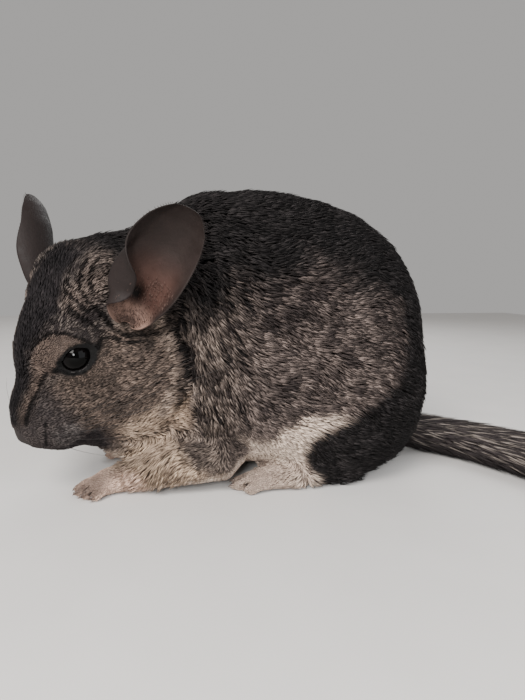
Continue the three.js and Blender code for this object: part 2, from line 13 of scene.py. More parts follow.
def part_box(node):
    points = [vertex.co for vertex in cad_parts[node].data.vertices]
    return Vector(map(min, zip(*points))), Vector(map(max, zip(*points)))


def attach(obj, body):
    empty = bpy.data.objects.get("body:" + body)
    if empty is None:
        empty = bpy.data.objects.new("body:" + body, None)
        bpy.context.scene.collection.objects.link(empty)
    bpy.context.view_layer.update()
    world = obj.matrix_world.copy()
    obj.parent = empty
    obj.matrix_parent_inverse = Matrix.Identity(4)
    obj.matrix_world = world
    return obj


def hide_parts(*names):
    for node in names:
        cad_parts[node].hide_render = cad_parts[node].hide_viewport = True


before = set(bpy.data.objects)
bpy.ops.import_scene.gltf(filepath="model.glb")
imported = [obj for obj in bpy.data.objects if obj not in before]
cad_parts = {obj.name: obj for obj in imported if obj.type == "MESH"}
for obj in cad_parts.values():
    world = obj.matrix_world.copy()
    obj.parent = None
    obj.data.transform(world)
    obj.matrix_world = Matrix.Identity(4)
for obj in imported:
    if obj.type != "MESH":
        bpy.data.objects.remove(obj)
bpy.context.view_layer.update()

rng = np.random.default_rng(7)


# Frames

HEAD_CENTRE = np.array([-68.5, -10.0, 63.5])
HEAD_YAW, HEAD_PITCH, HEAD_ROLL = (math.radians(angle) for angle in (24, 36, 8))
EYE_PLACE = np.array([19.03, 14.86, 6.60])  # ahead of, beside and above the middle of the cranium
EYE_AIM = np.array([6.2, 18.3, 3.2])
EYE_RADIUS = 6.4


def unit(v):
    v = np.asarray(v, float)
    return v / np.maximum(np.linalg.norm(v, axis=-1, keepdims=True), 1e-9)


def lengths(v):
    return np.linalg.norm(v, axis=1)


def head_axes():
    ahead = np.array([
        -math.cos(HEAD_YAW) * math.cos(HEAD_PITCH),
        -math.sin(HEAD_YAW) * math.cos(HEAD_PITCH),
        -math.sin(HEAD_PITCH),
    ])
    level = np.array([math.sin(HEAD_YAW), -math.cos(HEAD_YAW), 0.0])
    left = level * math.cos(HEAD_ROLL) - np.cross(ahead, level) * math.sin(HEAD_ROLL)
    return np.array([ahead, left, np.cross(ahead, left)])


HEAD_AXES = head_axes()
AHEAD, LEFT, UP = HEAD_AXES


def on_head(places):
    """Body-frame points of places given ahead, left and up of the middle of the cranium."""
    return HEAD_CENTRE + np.asarray(places, float) @ HEAD_AXES


def to_head(points):
    return (points - HEAD_CENTRE) @ HEAD_AXES.T


eye_low, eye_high = (np.array(corner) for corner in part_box("eye_left"))
SHIFT = (eye_low + eye_high) / 2 * 1000 - on_head(EYE_PLACE)


def to_frame(points):
    return (points + SHIFT) / 1000


def new_object(name, data):
    made = bpy.data.objects.new(name, data)
    bpy.context.scene.collection.objects.link(made)
    return made


def set_place(made, right, over, back, place):
    """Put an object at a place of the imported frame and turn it, given its own three directions."""
    columns = np.eye(4)
    columns[:3] = np.stack([right, over, back, place], 1)
    made.matrix_world = Matrix(columns.tolist())


# Camera

CAMERA_AZIMUTH, CAMERA_DISTANCE, CAMERA_HEIGHT = math.radians(-18), 240, 85
CAMERA_PITCH, CAMERA_ROLL = math.radians(8), math.radians(1)
FOCAL_PIXELS, IMAGE_HEIGHT_PIXELS, SENSOR = 540, 700, 36.0


def make_camera():
    data = bpy.data.cameras.new("camera")
    data.sensor_width = SENSOR
    data.lens = FOCAL_PIXELS / IMAGE_HEIGHT_PIXELS * SENSOR
    data.clip_start, data.clip_end = 0.005, 20
    camera = new_object("camera", data)
    sine, cosine = math.sin(CAMERA_AZIMUTH), math.cos(CAMERA_AZIMUTH)
    back = np.array([
        sine * math.cos(CAMERA_PITCH),
        -cosine * math.cos(CAMERA_PITCH),
        math.sin(CAMERA_PITCH),
    ])
    right = unit(np.cross(-back, [0, 0, 1]))
    over = np.cross(right, -back)
    tilted_right = right * math.cos(CAMERA_ROLL) + over * math.sin(CAMERA_ROLL)
    tilted_over = -right * math.sin(CAMERA_ROLL) + over * math.cos(CAMERA_ROLL)
    place = to_frame(np.array([sine * CAMERA_DISTANCE, -cosine * CAMERA_DISTANCE, CAMERA_HEIGHT]))
    set_place(camera, tilted_right, tilted_over, back, place)
    bpy.context.scene.camera = camera


make_camera()


# Numbers

def smooth(low, high, value):
    t = np.clip((value - low) / (high - low), 0, 1)
    return t * t * (3 - 2 * t)


def mix(a, b, share):
    return a + (b - a) * share


def noise(points, size, seed):
    """Smooth noise from -1 to 1 in space, with lumps about size mm across."""
    p = points / size + seed * 7.31
    cell = np.floor(p).astype(np.int64)
    f = p - cell
    f = f * f * (3 - 2 * f)
    total = np.zeros(len(points))
    for corner in np.ndindex(2, 2, 2):
        q = cell + np.array(corner)
        mixed = (q[:, 0] * 73856093) ^ (q[:, 1] * 19349663) ^ (q[:, 2] * 83492791) ^ (seed * 668265263)
        mixed = ((mixed ^ (mixed >> 13)) * 1274126177) & 0x7FFFFFFF
        weight = np.prod(np.where(corner, f, 1 - f), axis=1)
        total += weight * ((mixed ^ (mixed >> 16)) % 65536 / 32767.5 - 1)
    return total


def rgb(red, green, blue):
    """A colour as light sees it, from its usual 0 to 255 values."""
    s = np.array([red, green, blue]) / 255
    return np.where(s <= 0.04045, s / 12.92, ((s + 0.055) / 1.055) ** 2.4)


def interpolated(wanted, knots, line):
    """Points of a line at the wanted values of its knots."""
    return np.stack([np.interp(wanted, knots, line[:, axis]) for axis in range(3)], 1)


def distance_to_path(points, path):
    best = np.full(len(points), 1e9)
    for a, b in zip(path[:-1], path[1:]):
        d = b - a
        t = np.clip((points - a) @ d / (d @ d), 0, 1)
        best = np.minimum(best, lengths(points - a - t[:, None] * d))
    return best


# Meshes

def new_mesh(name, points, faces, colours=None, bake_map=None, smooth_faces=True):
    """A mesh of faces that all have as many corners, from body-frame points."""
    mesh = bpy.data.meshes.new(name)
    faces = np.asarray(faces, np.int32)
    mesh.vertices.add(len(points))
    mesh.vertices.foreach_set("co", to_frame(points).astype(np.float32).ravel())
    mesh.loops.add(faces.size)
    mesh.loops.foreach_set("vertex_index", faces.ravel())
    mesh.polygons.add(len(faces))
    mesh.polygons.foreach_set("loop_start", np.arange(0, faces.size, faces.shape[1], dtype=np.int32))
    mesh.update(calc_edges=True)
    mesh.polygons.foreach_set("use_smooth", np.full(len(faces), smooth_faces))
    if colours is not None:
        layer = mesh.attributes.new("tone", "FLOAT_COLOR", "POINT")
        rgba = np.ones((len(points), 4), np.float32)
        rgba[:, :3] = colours
        layer.data.foreach_set("color", rgba.ravel())
    if bake_map is not None:
        layer = mesh.uv_layers.new(name="OFBake")
        layer.data.foreach_set("uv", bake_map.astype(np.float32).ravel())
    return mesh


def new_piece(name, mesh, material):
    piece = new_object(name, mesh)
    mesh.materials.append(material)
    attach(piece, "root")
    return piece


def vertex_normals(points, faces):
    normals = np.zeros_like(points)
    for i in range(1, faces.shape[1] - 1):
        corner = [faces[:, 0], faces[:, i], faces[:, i + 1]]
        cross = np.cross(points[corner[1]] - points[corner[0]], points[corner[2]] - points[corner[0]])
        for c in corner:
            for axis in range(3):
                normals[:, axis] += np.bincount(c, cross[:, axis], len(points))
    return unit(normals)


def relaxed(points, faces, amount, rounds):
    """Points moved toward the middle of their neighbours, each by its own amount from 0 to 1."""
    sides = np.concatenate([faces[:, [i, (i + 1) % faces.shape[1]]] for i in range(faces.shape[1])])
    sides = np.concatenate([sides, sides[:, ::-1]])
    count = np.bincount(sides[:, 0], minlength=len(points))[:, None]
    points = points.copy()
    for _ in range(rounds):
        ends = points[sides[:, 1]]
        total = np.stack([np.bincount(sides[:, 0], ends[:, axis], len(points)) for axis in range(3)], 1)
        points += (total / np.maximum(count, 1) - points) * np.reshape(amount, (-1, 1))
    return points


def loft_faces(rows, columns):
    """Quads between rows of points, where each row is one closed loop."""
    faces = []
    for i in range(rows - 1):
        for j in range(columns):
            k = (j + 1) % columns
            faces.append([i * columns + j, i * columns + k, (i + 1) * columns + k, (i + 1) * columns + j])
    return np.array(faces)


def split_quads(quads):
    return np.concatenate([quads[:, [0, 1, 2]], quads[:, [0, 2, 3]]])


def ball_faces(rows, columns):
    """Triangles of a ball: its rows of points, then one point before them and one behind them."""
    front, rear, last = rows * columns, rows * columns + 1, (rows - 1) * columns
    ends = []
    for j in range(columns):
        k = (j + 1) % columns
        ends += [[front, k, j], [rear, last + j, last + k]]
    return np.concatenate([split_quads(loft_faces(rows, columns)), ends])


# Landmarks

SIDES = {"left": 1, "right": -1}


def both_sides(path):
    """A place or a path on the left and on the right."""
    return [np.array(path, float) * [1, side, 1] for side in (-1, 1)]


FORE_PAWS = np.array([[-70.5, -20.0, 4.0], [-57.5, 20.0, 4.0]])
HIND_PAWS = np.array(both_sides([-5.0, 31.0, 4.0]))
ELBOWS = both_sides([-38, 28, 14])
PAWS = np.concatenate([FORE_PAWS, HIND_PAWS])
FORE_TURN, HIND_TURN = 28, -6
FORE_TOES = [(-5.2, 8.6), (-1.8, 10.4), (1.8, 10), (5.2, 8)]  # mm outward and ahead of the paw's middle
HIND_TOES = [(-7.4, 6), (-3.1, 14), (1.5, 15), (6, 10.5)]


def on_paw(number, ahead, outward, height):
    """A point of a paw: 0 and 1 are the fore paws, left then right, and 2 and 3 the hind ones."""
    turn = math.radians(FORE_TURN if number < 2 else HIND_TURN)
    middle = PAWS[number] if number < 2 else PAWS[number] - [2, 0, 0]
    side = -1 if number % 2 == 0 else 1
    across = side * (ahead * math.sin(turn) + outward * math.cos(turn))
    x = middle[0] - ahead * math.cos(turn) + outward * math.sin(turn)
    return np.array([x, middle[1] + across, height])


EYES = on_head([EYE_PLACE * [1, sign, 1] for sign in SIDES.values()])
EYE_AIMS = unit([EYE_AIM * [1, sign, 1] for sign in SIDES.values()]) @ HEAD_AXES
EAR_ROOT, EAR_TIP = np.array([1.1, 26, 9.3]), np.array([-23.2, 50.4, 44.5])
NOSE_PLACE, NOSE_RADII = np.array([46.0, 0, -12.8]), np.array([3.1, 4.1, 3.0])
BODY_COAT_DEPTH = 4.2

# Short-haired places: the middle, the radius, the coat's depth there and how fast it deepens beyond.
SHORT_COAT = [(on_head(NOSE_PLACE), 4, 0.35, 0.065)]
SHORT_COAT += [(eye, 8.5, 0.5, 0.2) for eye in EYES]
SHORT_COAT += [(paw - [3, 0, 1], 7.5, 0.4, 0.24) for paw in FORE_PAWS]
SHORT_COAT += [(paw - [11, 0, 1], 9, 0.4, 0.14) for paw in HIND_PAWS]
SHORT_COAT += [(on_head(EAR_ROOT * [1, sign, 1]), 9, 1.4, 0.2) for sign in SIDES.values()]
SHORT_COAT += [(on_head([6, 19 * sign, 25]), 9, 1.7, 0.16) for sign in SIDES.values()]


def coat_depth(points):
    depth = np.full(len(points), BODY_COAT_DEPTH)
    for middle, radius, least, growth in SHORT_COAT:
        beyond = np.maximum(0, lengths(points - middle) - radius)
        depth = np.minimum(depth, least + growth * beyond)
    return depth


def head_share(points):
    """1 on the head, 0 on the body, and between the two at the neck."""
    ahead, aside, over = to_head(points).T
    return smooth(-16, -2, ahead) * smooth(-42, -33, over) * (1 - smooth(34, 40, np.abs(aside)))


CHEEK_FOLD = [
    [-46, 37.5, 68], [-42.3, 38.7, 59.6], [-40.5, 38.8, 54.1], [-39.8, 36.5, 44.5], [-41.1, 33.4, 38.3],
    [-43.4, 28.9, 30.4],
]

# Folds of the head: a path along each, on its left side, with its half width and its depth.
HEAD_FOLDS = [
    # The crease from the eye to the nose.
    ([[30.5, 11.4, 6.5], [31.7, 10.6, 5.4], [35, 9.1, 2.6], [38.9, 8.1, 0], [42.4, 7.3, -2.5],
      [45.2, 6.2, -5.9]], 1.15, 1.1),
    # The line of the mouth, and the fold beside the nose.
    ([[39, 0.6, -26], [34, 7, -26], [28, 11.4, -24.6], [21, 14.4, -22.6]], 1.0, 1.2),
    ([[40.6, 11.3, -8.4], [43, 10.1, -12.5], [44.9, 8.4, -17.3]], 0.7, 0.5),
    # The wrinkles between the eye and the ear.
    ([[6.9, 21.8, 20.1], [6.3, 23, 17.7], [5.9, 23.5, 14.9], [5.9, 24.3, 10.1], [5.1, 25.2, 7.4],
      [3, 26.7, 5.1], [-1, 28.9, 2.8], [-4.8, 31.3, 1.6], [-8.8, 33.8, 1.7]], 1.1, 1.4),
    ([[7, 23.8, 10.1], [6.5, 24.6, 7.5], [5.5, 25.9, 4.7], [2.9, 27.7, 2], [-0.6, 29.5, 0.5]], 0.8, 0.9),
    ([[12.2, 16.5, 22.7], [11.8, 18.8, 20.3], [10.5, 21, 16.7], [9.1, 22.5, 12.4], [7.4, 24.2, 7.8],
      [6, 25.6, 5.1]], 1.0, 1.3),
    ([[8.8, 12.9, 27.5], [9.3, 16.7, 25.2], [9.4, 18.7, 23.1], [9.3, 19.9, 21.2],
      [8.6, 21.3, 19.2]], 0.9, 1.2),
    # The dark streaks of the temple.
    ([[-3.7, 9.9, 33.1], [0.5, 10.8, 32.4], [4.9, 11.8, 30.3], [7.8, 14.7, 27.4]], 0.8, 0.65),
    ([[-3.8, 15.1, 32.5], [0.7, 16.6, 31.3], [4.4, 17.6, 28.8], [6.5, 18.9, 25.6],
      [6.9, 21.1, 22.1]], 0.8, 0.65),
    ([[-6.1, 17.7, 31.2], [-0.9, 19.7, 30.2], [2.5, 20.6, 27.5], [4, 21.9, 23.9]], 0.7, 0.6),
    # The line over the brow, and the corner behind the eye.
    ([[28.4, 7.3, 15.1], [25.1, 8.8, 17.3], [21, 13, 18.1], [17.8, 17.2, 16.5], [15.3, 20.9, 12.2],
      [13.2, 22.2, 8]], 0.8, 0.6),
    ([[13.2, 22.2, 8], [9.8, 22.8, 9], [7, 24.3, 7.9]], 0.8, 0.6),
]
FOLDS = [(on_head(path * np.array([1, side, 1])), width, deep)
         for path, width, deep in HEAD_FOLDS for side in (1, -1)]
# The fold behind the cheek, from below the ear down to the throat, and a fainter one behind it.
for path, width, deep in (
    ([*CHEEK_FOLD, [-48, 25, 24]], 2.0, 2.6),
    ([[-36, 40, 64], [-33.5, 39.5, 53], [-33, 37.5, 42], [-35.5, 33, 32]], 1.2, 1.6),
):
    FOLDS += [(side, width, deep) for side in both_sides(path)]
# The gaps between the toes.
for number in range(4):
    toes = FORE_TOES if number < 2 else HIND_TOES
    for (out_a, ahead_a), (out_b, ahead_b) in zip(toes[:-1], toes[1:]):
        out, ahead = (out_a + out_b) / 2, min(ahead_a, ahead_b)
        FOLDS.append((np.array([
            on_paw(number, ahead * 0.35, out * 0.9, 4.6),
            on_paw(number, ahead * 0.75, out * 1.02, 3.1),
            on_paw(number, ahead * 1.02, out * 1.12, 2.3),
            on_paw(number, ahead * 1.15, out * 1.15, 0.6),
        ]), 1.0, 1.6))


def furrows(points):
    """Wavy partings of the thick coat on the neck and shoulder, as shares from 0 to 1."""
    x, _, z = points.T
    phase = (x + 0.22 * z + 5.5 * noise(points, 24, 51) + 2.4 * noise(points, 10, 52)) / 6.4
    off_line = np.abs(phase - np.floor(phase) - 0.5) * 2
    broken = smooth(-0.45, 0.15, noise(points, 9, 53))
    place = smooth(-62, -50, x) * (1 - smooth(-26, -2, x)) * smooth(14, 24, z) * (1 - smooth(84, 98, z))
    return (1 - smooth(0.1, 0.36, off_line)) * broken * place * (1 - head_share(points))


def fold_share(points):
    """How deep in a fold each point lies, and the fold's depth there in mm."""
    share = furrows(points) * 0.85
    depth = share * 1.2
    for path, width, deep in FOLDS:
        s = np.exp(-((distance_to_path(points, path) / width) ** 2))
        depth = np.maximum(depth, s * deep)
        share = np.maximum(share, s)
    return share, depth


# Skin

FLESH = ["head", "neck", "torso", "foreleg_left", "foreleg_right", "hindleg_left", "hindleg_right"]
VOXEL = 0.95  # mm
OVERLAP = 0.35  # how far each solid grows so that they fuse


def fused_flesh():
    """One closed surface around the flesh solids, as points and quads."""
    joined = bmesh.new()
    for name in [*FLESH, "eye_left", "eye_right"]:
        part = bmesh.new()
        part.from_mesh(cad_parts[name].data)
        bmesh.ops.remove_doubles(part, verts=part.verts, dist=2e-6)
        part.normal_update()
        for vertex in part.verts:
            vertex.co += vertex.normal * OVERLAP / 1000
        grown = bpy.data.meshes.new("grown")
        part.to_mesh(grown)
        joined.from_mesh(grown)
    mesh = bpy.data.meshes.new("flesh")
    joined.to_mesh(mesh)
    flesh = new_object("flesh", mesh)
    remesh = flesh.modifiers.new("remesh", "REMESH")
    remesh.mode, remesh.voxel_size = "VOXEL", VOXEL / 1000
    done = flesh.evaluated_get(bpy.context.evaluated_depsgraph_get()).to_mesh()
    points = np.empty(len(done.vertices) * 3, np.float32)
    done.vertices.foreach_get("co", points)
    corners = np.empty(len(done.loops), np.int32)
    done.loops.foreach_get("vertex_index", corners)
    starts = np.empty(len(done.polygons), np.int32)
    done.polygons.foreach_get("loop_start", starts)
    sizes = np.diff(np.append(starts, len(corners)))
    faces = np.array([corners[s:s + 4] if n == 4 else corners[[s, s + 1, s + 2, s + 2]]
                      for s, n in zip(starts, sizes)])
    bpy.data.objects.remove(flesh)
    return points.reshape(-1, 3).astype(float) * 1000 - SHIFT, faces


# Half width, upper height and lower height of the opening between the lids.
LID_OPENING = (6.1, 4.0, 3.6)
SOCKET_GAP, SOCKET_DEPTH = 0.45, 1.2  # the skin beside the eye's ball and behind its front, in mm


def eye_axes(number):
    """The line of sight, and the directions rearward along and up across the opening of the lids."""
    aim = EYE_AIMS[number]
    over = unit(UP - aim * (UP @ aim))
    return aim, np.cross(over, aim) * (1 if number == 0 else -1), over


def opening_at(angle):
    """The lids' edge at an angle round the line of sight, as mm along and across."""
    rise = np.sin(angle) * np.abs(np.sin(angle)) ** 0.3
    wide, high, low = LID_OPENING
    lean = 0.1 * np.cos(angle)
    return wide * np.cos(angle), np.where(rise > 0, high * (1 + lean), low * (1 - lean)) * rise


def off_eye(number, points):
    """How far points lie along and across the opening, before the eye's middle, and from its edge."""
    aim, along, across = eye_axes(number)
    away = points - EYES[number]
    a, b, front = away @ along, away @ across, away @ aim
    edge = np.hypot(*opening_at(np.arctan2(b / 3.8, a / 6.1)))
    return a, b, front, np.hypot(a, b) - edge


def build_skin():
    points, faces = fused_flesh()
    feet = np.minimum.reduce([lengths(points - paw) for paw in PAWS])
    amount = mix(0.2, 0.6, smooth(14, 26, feet))
    points = relaxed(points, faces, amount, 3)
    body = 1 - head_share(points)
    points = relaxed(points, faces, 0.6 * body * smooth(16, 30, feet), 24)
    normals = vertex_normals(points, faces)
    _, fold = fold_share(points)
    points = points - normals * (coat_depth(points) + fold)[:, None]
    points = relaxed(points, faces, 0.5 * smooth(10, 20, feet), 3)
    for number, middle in enumerate(EYES):
        away = points - middle
        far = lengths(away)
        outward = away / np.maximum(far, 1e-6)[:, None]
        _, _, front, off_edge = off_eye(number, points)
        inside = (off_edge < 0.6) & (front > 0.1 * far) & (far < 9)
        near = (far < EYE_RADIUS + SOCKET_GAP) & ~inside & (front > -0.2 * far)
        points[near] = middle + outward[near] * (EYE_RADIUS + SOCKET_GAP)
        points[inside] = middle + outward[inside] * (EYE_RADIUS - SOCKET_DEPTH)
    points[:, 2] = np.maximum(points[:, 2], 0.05)
    return points, faces


skin_points, skin_faces = build_skin()
skin_normals = vertex_normals(skin_points, skin_faces)


# Markings, with painted shade in the folds and under the muzzle, the same on skin and coat

# The dark and the pale hair of each.
MANTLE = rgb(24, 22, 22), rgb(54, 50, 50)
FLANK = rgb(46, 40, 39), rgb(120, 107, 101)
NECK = rgb(39, 34, 33), rgb(140, 126, 116)
CHEST = rgb(104, 89, 78), rgb(198, 175, 152)
BELLY = rgb(176, 158, 146), rgb(208, 190, 174)
FORE_PAW = rgb(170, 144, 130), rgb(216, 188, 170)
HIND_PAW = rgb(132, 116, 106), rgb(196, 176, 162)
CHEEK = rgb(57, 50, 46), rgb(122, 106, 96)
CRESCENT = rgb(84, 74, 67), rgb(150, 133, 121)
HEAD_TOP = rgb(38, 34, 35), rgb(132, 122, 115)
STRIPE = rgb(27, 25, 26), rgb(56, 51, 52)
BROW = rgb(72, 62, 57), rgb(112, 97, 88)
TEMPLE = rgb(60, 53, 50), rgb(128, 114, 106)
MUZZLE = rgb(50, 45, 45), rgb(90, 82, 79)
WHISKER_PAD = rgb(54, 49, 49), rgb(132, 124, 120)
# Painted shade under the muzzle, laid on the lower lip.
LOWER_LIP_SHADE = rgb(38, 34, 35), rgb(66, 60, 60)
THROAT = rgb(118, 101, 88), rgb(182, 160, 140)
EYE_RIM = rgb(13, 12, 12), rgb(30, 27, 27)
# Partly the dark base of the hair showing in partings, partly painted shade in folds, creases and the gaps
# between the toes.
PARTING_AND_CREASE_SHADE = rgb(13, 12, 12), rgb(38, 34, 34)
TEMPLE_PATH = np.array([[-9.9, 17.1, 30.2], [-1.8, 20.5, 29.7], [4, 21.5, 25], [9, 17, 24]])


def body_zones(points, normals):
    """How much each point is mantle, white belly, cream chest, as shares that jag along their edges."""
    x, _, z = points.T
    ragged = 3.2 * noise(points, 11, 3) + 2.2 * noise(points, 4.5, 4)
    line_x = [-62, -35, -27, -19, -4, 10, 27, 39, 50]
    line_z = [68, 74, 78, 83, 86, 92, 84, 83, 76]
    over_line = z - np.interp(x, line_x, line_z) + ragged * 1.6
    rear_z = [0, 6, 11, 16, 24, 32, 43, 60, 75, 86]
    rear_x = [13, 14, 9, 5, 10, 18, 42, 46, 47, 34]
    behind_line = x - np.interp(z, rear_z, rear_x) + ragged
    mantle = np.maximum(smooth(-12, 8, over_line), smooth(-3, 3, behind_line))
    white_line = np.interp(x, [-30, -12, -5, 3, 12, 24], [4, 18, 27, 32, 34, 33])
    white = smooth(-2, 3.5, white_line - z + 0.8 * ragged)
    chest_line = np.interp(x, [-84, -66, -56, -46, -38, -30], [33, 31, 31, 24, 14, 6])
    chest = smooth(-4, 4, chest_line - z + ragged)
    under = smooth(0.25, 0.7, -normals[:, 2]) * (1 - smooth(26, 40, z))
    return mantle, np.maximum(white, under), chest


def colour_zones(points, normals):
    """The dark and the pale colour of the hair at each point, and the share of it that is pale."""
    mantle, white, chest = body_zones(points, normals)
    count = len(points)
    dark, pale = (np.tile(tone, (count, 1)) for tone in FLANK)
    share = 0.4 + 0.22 * noise(points, 16, 8) + 0.12 * smooth(70, 40, points[:, 2])

    def lay(amount, tones, pale_share):
        nonlocal dark, pale, share
        dark = mix(dark, tones[0], amount[:, None])
        pale = mix(pale, tones[1], amount[:, None])
        share = mix(share, pale_share, amount)

    neck = smooth(-12, -34, points[:, 0])
    lay(neck * 0.8, NECK, 0.46 + 0.35 * noise(points, 6, 10))
    lay(chest, CHEST, 0.6)
    lay(white, BELLY, 0.8)
    lay(mantle, MANTLE, 0.3)
    feet = np.minimum.reduce([
        distance_to_path(points, np.array([paw + [12 if n < 2 else 10, 0, 2], paw, on_paw(n, 12, 0, 2)]))
        for n, paw in enumerate(PAWS)
    ])
    foot = (1 - smooth(7, 12, feet)) * smooth(12, 8, points[:, 2])
    hind = smooth(-34, -26, points[:, 0])
    lay(foot, [mix(fore, rear, hind[:, None]) for fore, rear in zip(FORE_PAW, HIND_PAW)], 0.7)

    ahead, aside, over = to_head(points).T
    aside = np.abs(aside)
    head = head_share(points)
    ragged = 1.3 * noise(points, 4, 12) + 1.0 * noise(points, 9, 13)
    lay(head, CHEEK, 0.45 + 0.15 * noise(points, 7, 9))
    top = smooth(8, 15, over + 0.25 * ahead)
    lay(head * top * 0.85, HEAD_TOP, 0.3)
    stripe_width = np.interp(ahead, [-10, 4, 9, 15, 22, 30, 42], [12, 9.5, 12, 13.5, 9.5, 6.5, 5.5])
    stripe = (1 - smooth(-3, 3, aside - stripe_width + ragged)) * smooth(-8, -3, over + 0.35 * (ahead - 20))
    lay(head * stripe, STRIPE, 0.25)
    brow_ahead = [12, 15, 17.5, 20.8, 25, 28.4, 37, 45]
    brow_line = np.interp(ahead, brow_ahead, [8, 11.9, 15.9, 17.6, 17.2, 15.1, 8, 1])
    crease_ahead = [10, 20, 28, 31.5, 35, 38.9, 42.4, 45.2]
    crease = np.interp(ahead, crease_ahead, [5, 6, 6.5, 5.4, 2.6, 0, -2.5, -5.9])
    panel = smooth(-1.2, 0.8, over - crease) * smooth(0.8, -0.8, over - brow_line)
    panel = panel * smooth(12, 15, ahead)
    off_stripe = smooth(-1, 2, aside - stripe_width + 0.5 * ragged)
    lay(head * panel * off_stripe, BROW, 0.5)
    beside = np.stack([ahead, aside, over], 1)
    temple = 1 - smooth(2.5, 7.5, distance_to_path(beside, TEMPLE_PATH))
    lay(head * temple, TEMPLE, 0.45)
    muzzle = smooth(28, 37, ahead) * smooth(1, -2, over - crease)
    lay(head * muzzle, MUZZLE, 0.38)
    pad = lengths((beside - [36, 11, -17]) / [7, 6, 7])
    lay(head * (1 - smooth(0.7, 1.1, pad)), WHISKER_PAD, 0.3)
    # Painted shade: the lower lip under the muzzle is darkened.
    lip_shade = smooth(25, 30, ahead) * smooth(-19, -23, over)
    lay(head * lip_shade, LOWER_LIP_SHADE, 0.35)
    throat = smooth(27, 20, ahead) * smooth(-22, -29, over)
    lay(head * throat, THROAT, 0.62)
    for number in range(2):
        a, b, front, _ = off_eye(number, points)
        rim = np.minimum(np.hypot(a / 7.6, b / 5.3), np.hypot(a / 10, b / 2.2)) + 0.04 * ragged
        lay((1 - smooth(0.9, 1.1, rim)) * (front > 0), EYE_RIM, 0.2)
    crescent = np.minimum(*[distance_to_path(points, path - [4.6, 0, 0]) for path in both_sides(CHEEK_FOLD)])
    crescent = (1 - smooth(1.6, 3.8, crescent)) * smooth(24, 34, points[:, 2])
    lay(crescent, CRESCENT, 0.6)
    # Partings, folds, creases and toe gaps are darkened: partly the dark base of the hair, partly painted
    # shade.
    fold, _ = fold_share(points)
    lay(smooth(0.25, 0.8, fold) * 0.88, PARTING_AND_CREASE_SHADE, 0.15)
    return dark, pale, np.clip(share, 0, 1)


# The unwrap of the skin: a cell for each body region and each of six directions.
REGIONS, UNWRAP_SCALE = 4, 0.001  # of the map for each mm
CELL_MIDDLE, CELL_REACH = (-10, 20), (82, 120)  # mm


def unwrap(points, normals):
    region = np.where(head_share(points) > 0.5, 1, 0)
    region[(points[:, 2] < 13) & (points[:, 1] < 0)] = 2
    region[(points[:, 2] < 13) & (points[:, 1] >= 0)] = 3
    axis = np.argmax(np.abs(normals), axis=1)
    picked = np.arange(len(points))
    facing = (normals[picked, axis] > 0).astype(int)
    first, second = points[picked, (axis + 1) % 3], points[picked, (axis + 2) % 3]
    return region, axis * 2 + facing, first, second


def bake_places(points, normals, cells=None):
    region, direction, first, second = cells or unwrap(points, normals)
    across, upward = (np.clip(place - middle, -reach, reach) * UNWRAP_SCALE
                      for place, middle, reach in zip((first, second), CELL_MIDDLE, CELL_REACH))
    return np.stack([(direction + 0.5) / 6 + across, (region + 0.5) / REGIONS + upward], 1)


def face_middles(points, faces):
    middles = points[faces].mean(1)
    first = points[faces[:, 2]] - points[faces[:, 0]]
    second = points[faces[:, 3]] - points[faces[:, 1]]
    cross = np.cross(first, second)
    return middles, unit(cross), lengths(cross) / 2


# Materials

def shader(name, roughness, specular):
    material = bpy.data.materials.new(name)
    material.use_nodes = True
    nodes, links = material.node_tree.nodes, material.node_tree.links
    bsdf = nodes["Principled BSDF"]
    bsdf.inputs["Roughness"].default_value = roughness
    bsdf.inputs["Specular IOR Level"].default_value = specular
    return material, nodes, links, bsdf


def add_noise(nodes, links, scale, detail=3.0):
    place = nodes.new("ShaderNodeTexCoord")
    texture = nodes.new("ShaderNodeTexNoise")
    texture.inputs["Scale"].default_value = scale
    texture.inputs["Detail"].default_value = detail
    links.new(place.outputs["Object"], texture.inputs["Vector"])
    return texture.outputs["Fac"]


def add_range(nodes, links, value, low, high):
    spread = nodes.new("ShaderNodeMapRange")
    spread.inputs["From Min"].default_value = 0.3
    spread.inputs["From Max"].default_value = 0.7
    spread.inputs["To Min"].default_value = low
    spread.inputs["To Max"].default_value = high
    links.new(value, spread.inputs["Value"])
    return spread.outputs["Result"]


def add_tone(nodes, links, bsdf, noise_scale, variation):
    """The mesh's own tones, varied by noise, whose value is returned."""
    tone = nodes.new("ShaderNodeAttribute")
    tone.attribute_name = "tone"
    vary = nodes.new("ShaderNodeHueSaturation")
    links.new(tone.outputs["Color"], vary.inputs["Color"])
    grain = add_noise(nodes, links, noise_scale)
    links.new(add_range(nodes, links, grain, 1 - variation, 1 + variation), vary.inputs["Value"])
    links.new(vary.outputs["Color"], bsdf.inputs["Base Color"])
    return grain


def toned(name, roughness, variation, noise_scale, specular, bump=0.0, bump_scale=0.0):
    """A material that takes the mesh's own tones and varies them with fine noise."""
    material, nodes, links, bsdf = shader(name, roughness, specular)
    grain = add_tone(nodes, links, bsdf, noise_scale, variation)
    links.new(add_range(nodes, links, grain, roughness - 0.1, roughness + 0.08), bsdf.inputs["Roughness"])
    if bump:
        relief = nodes.new("ShaderNodeBump")
        relief.inputs["Strength"].default_value = bump
        relief.inputs["Distance"].default_value = 0.0004
        links.new(add_noise(nodes, links, bump_scale, 5.0), relief.inputs["Height"])
        links.new(relief.outputs["Normal"], bsdf.inputs["Normal"])
    return material


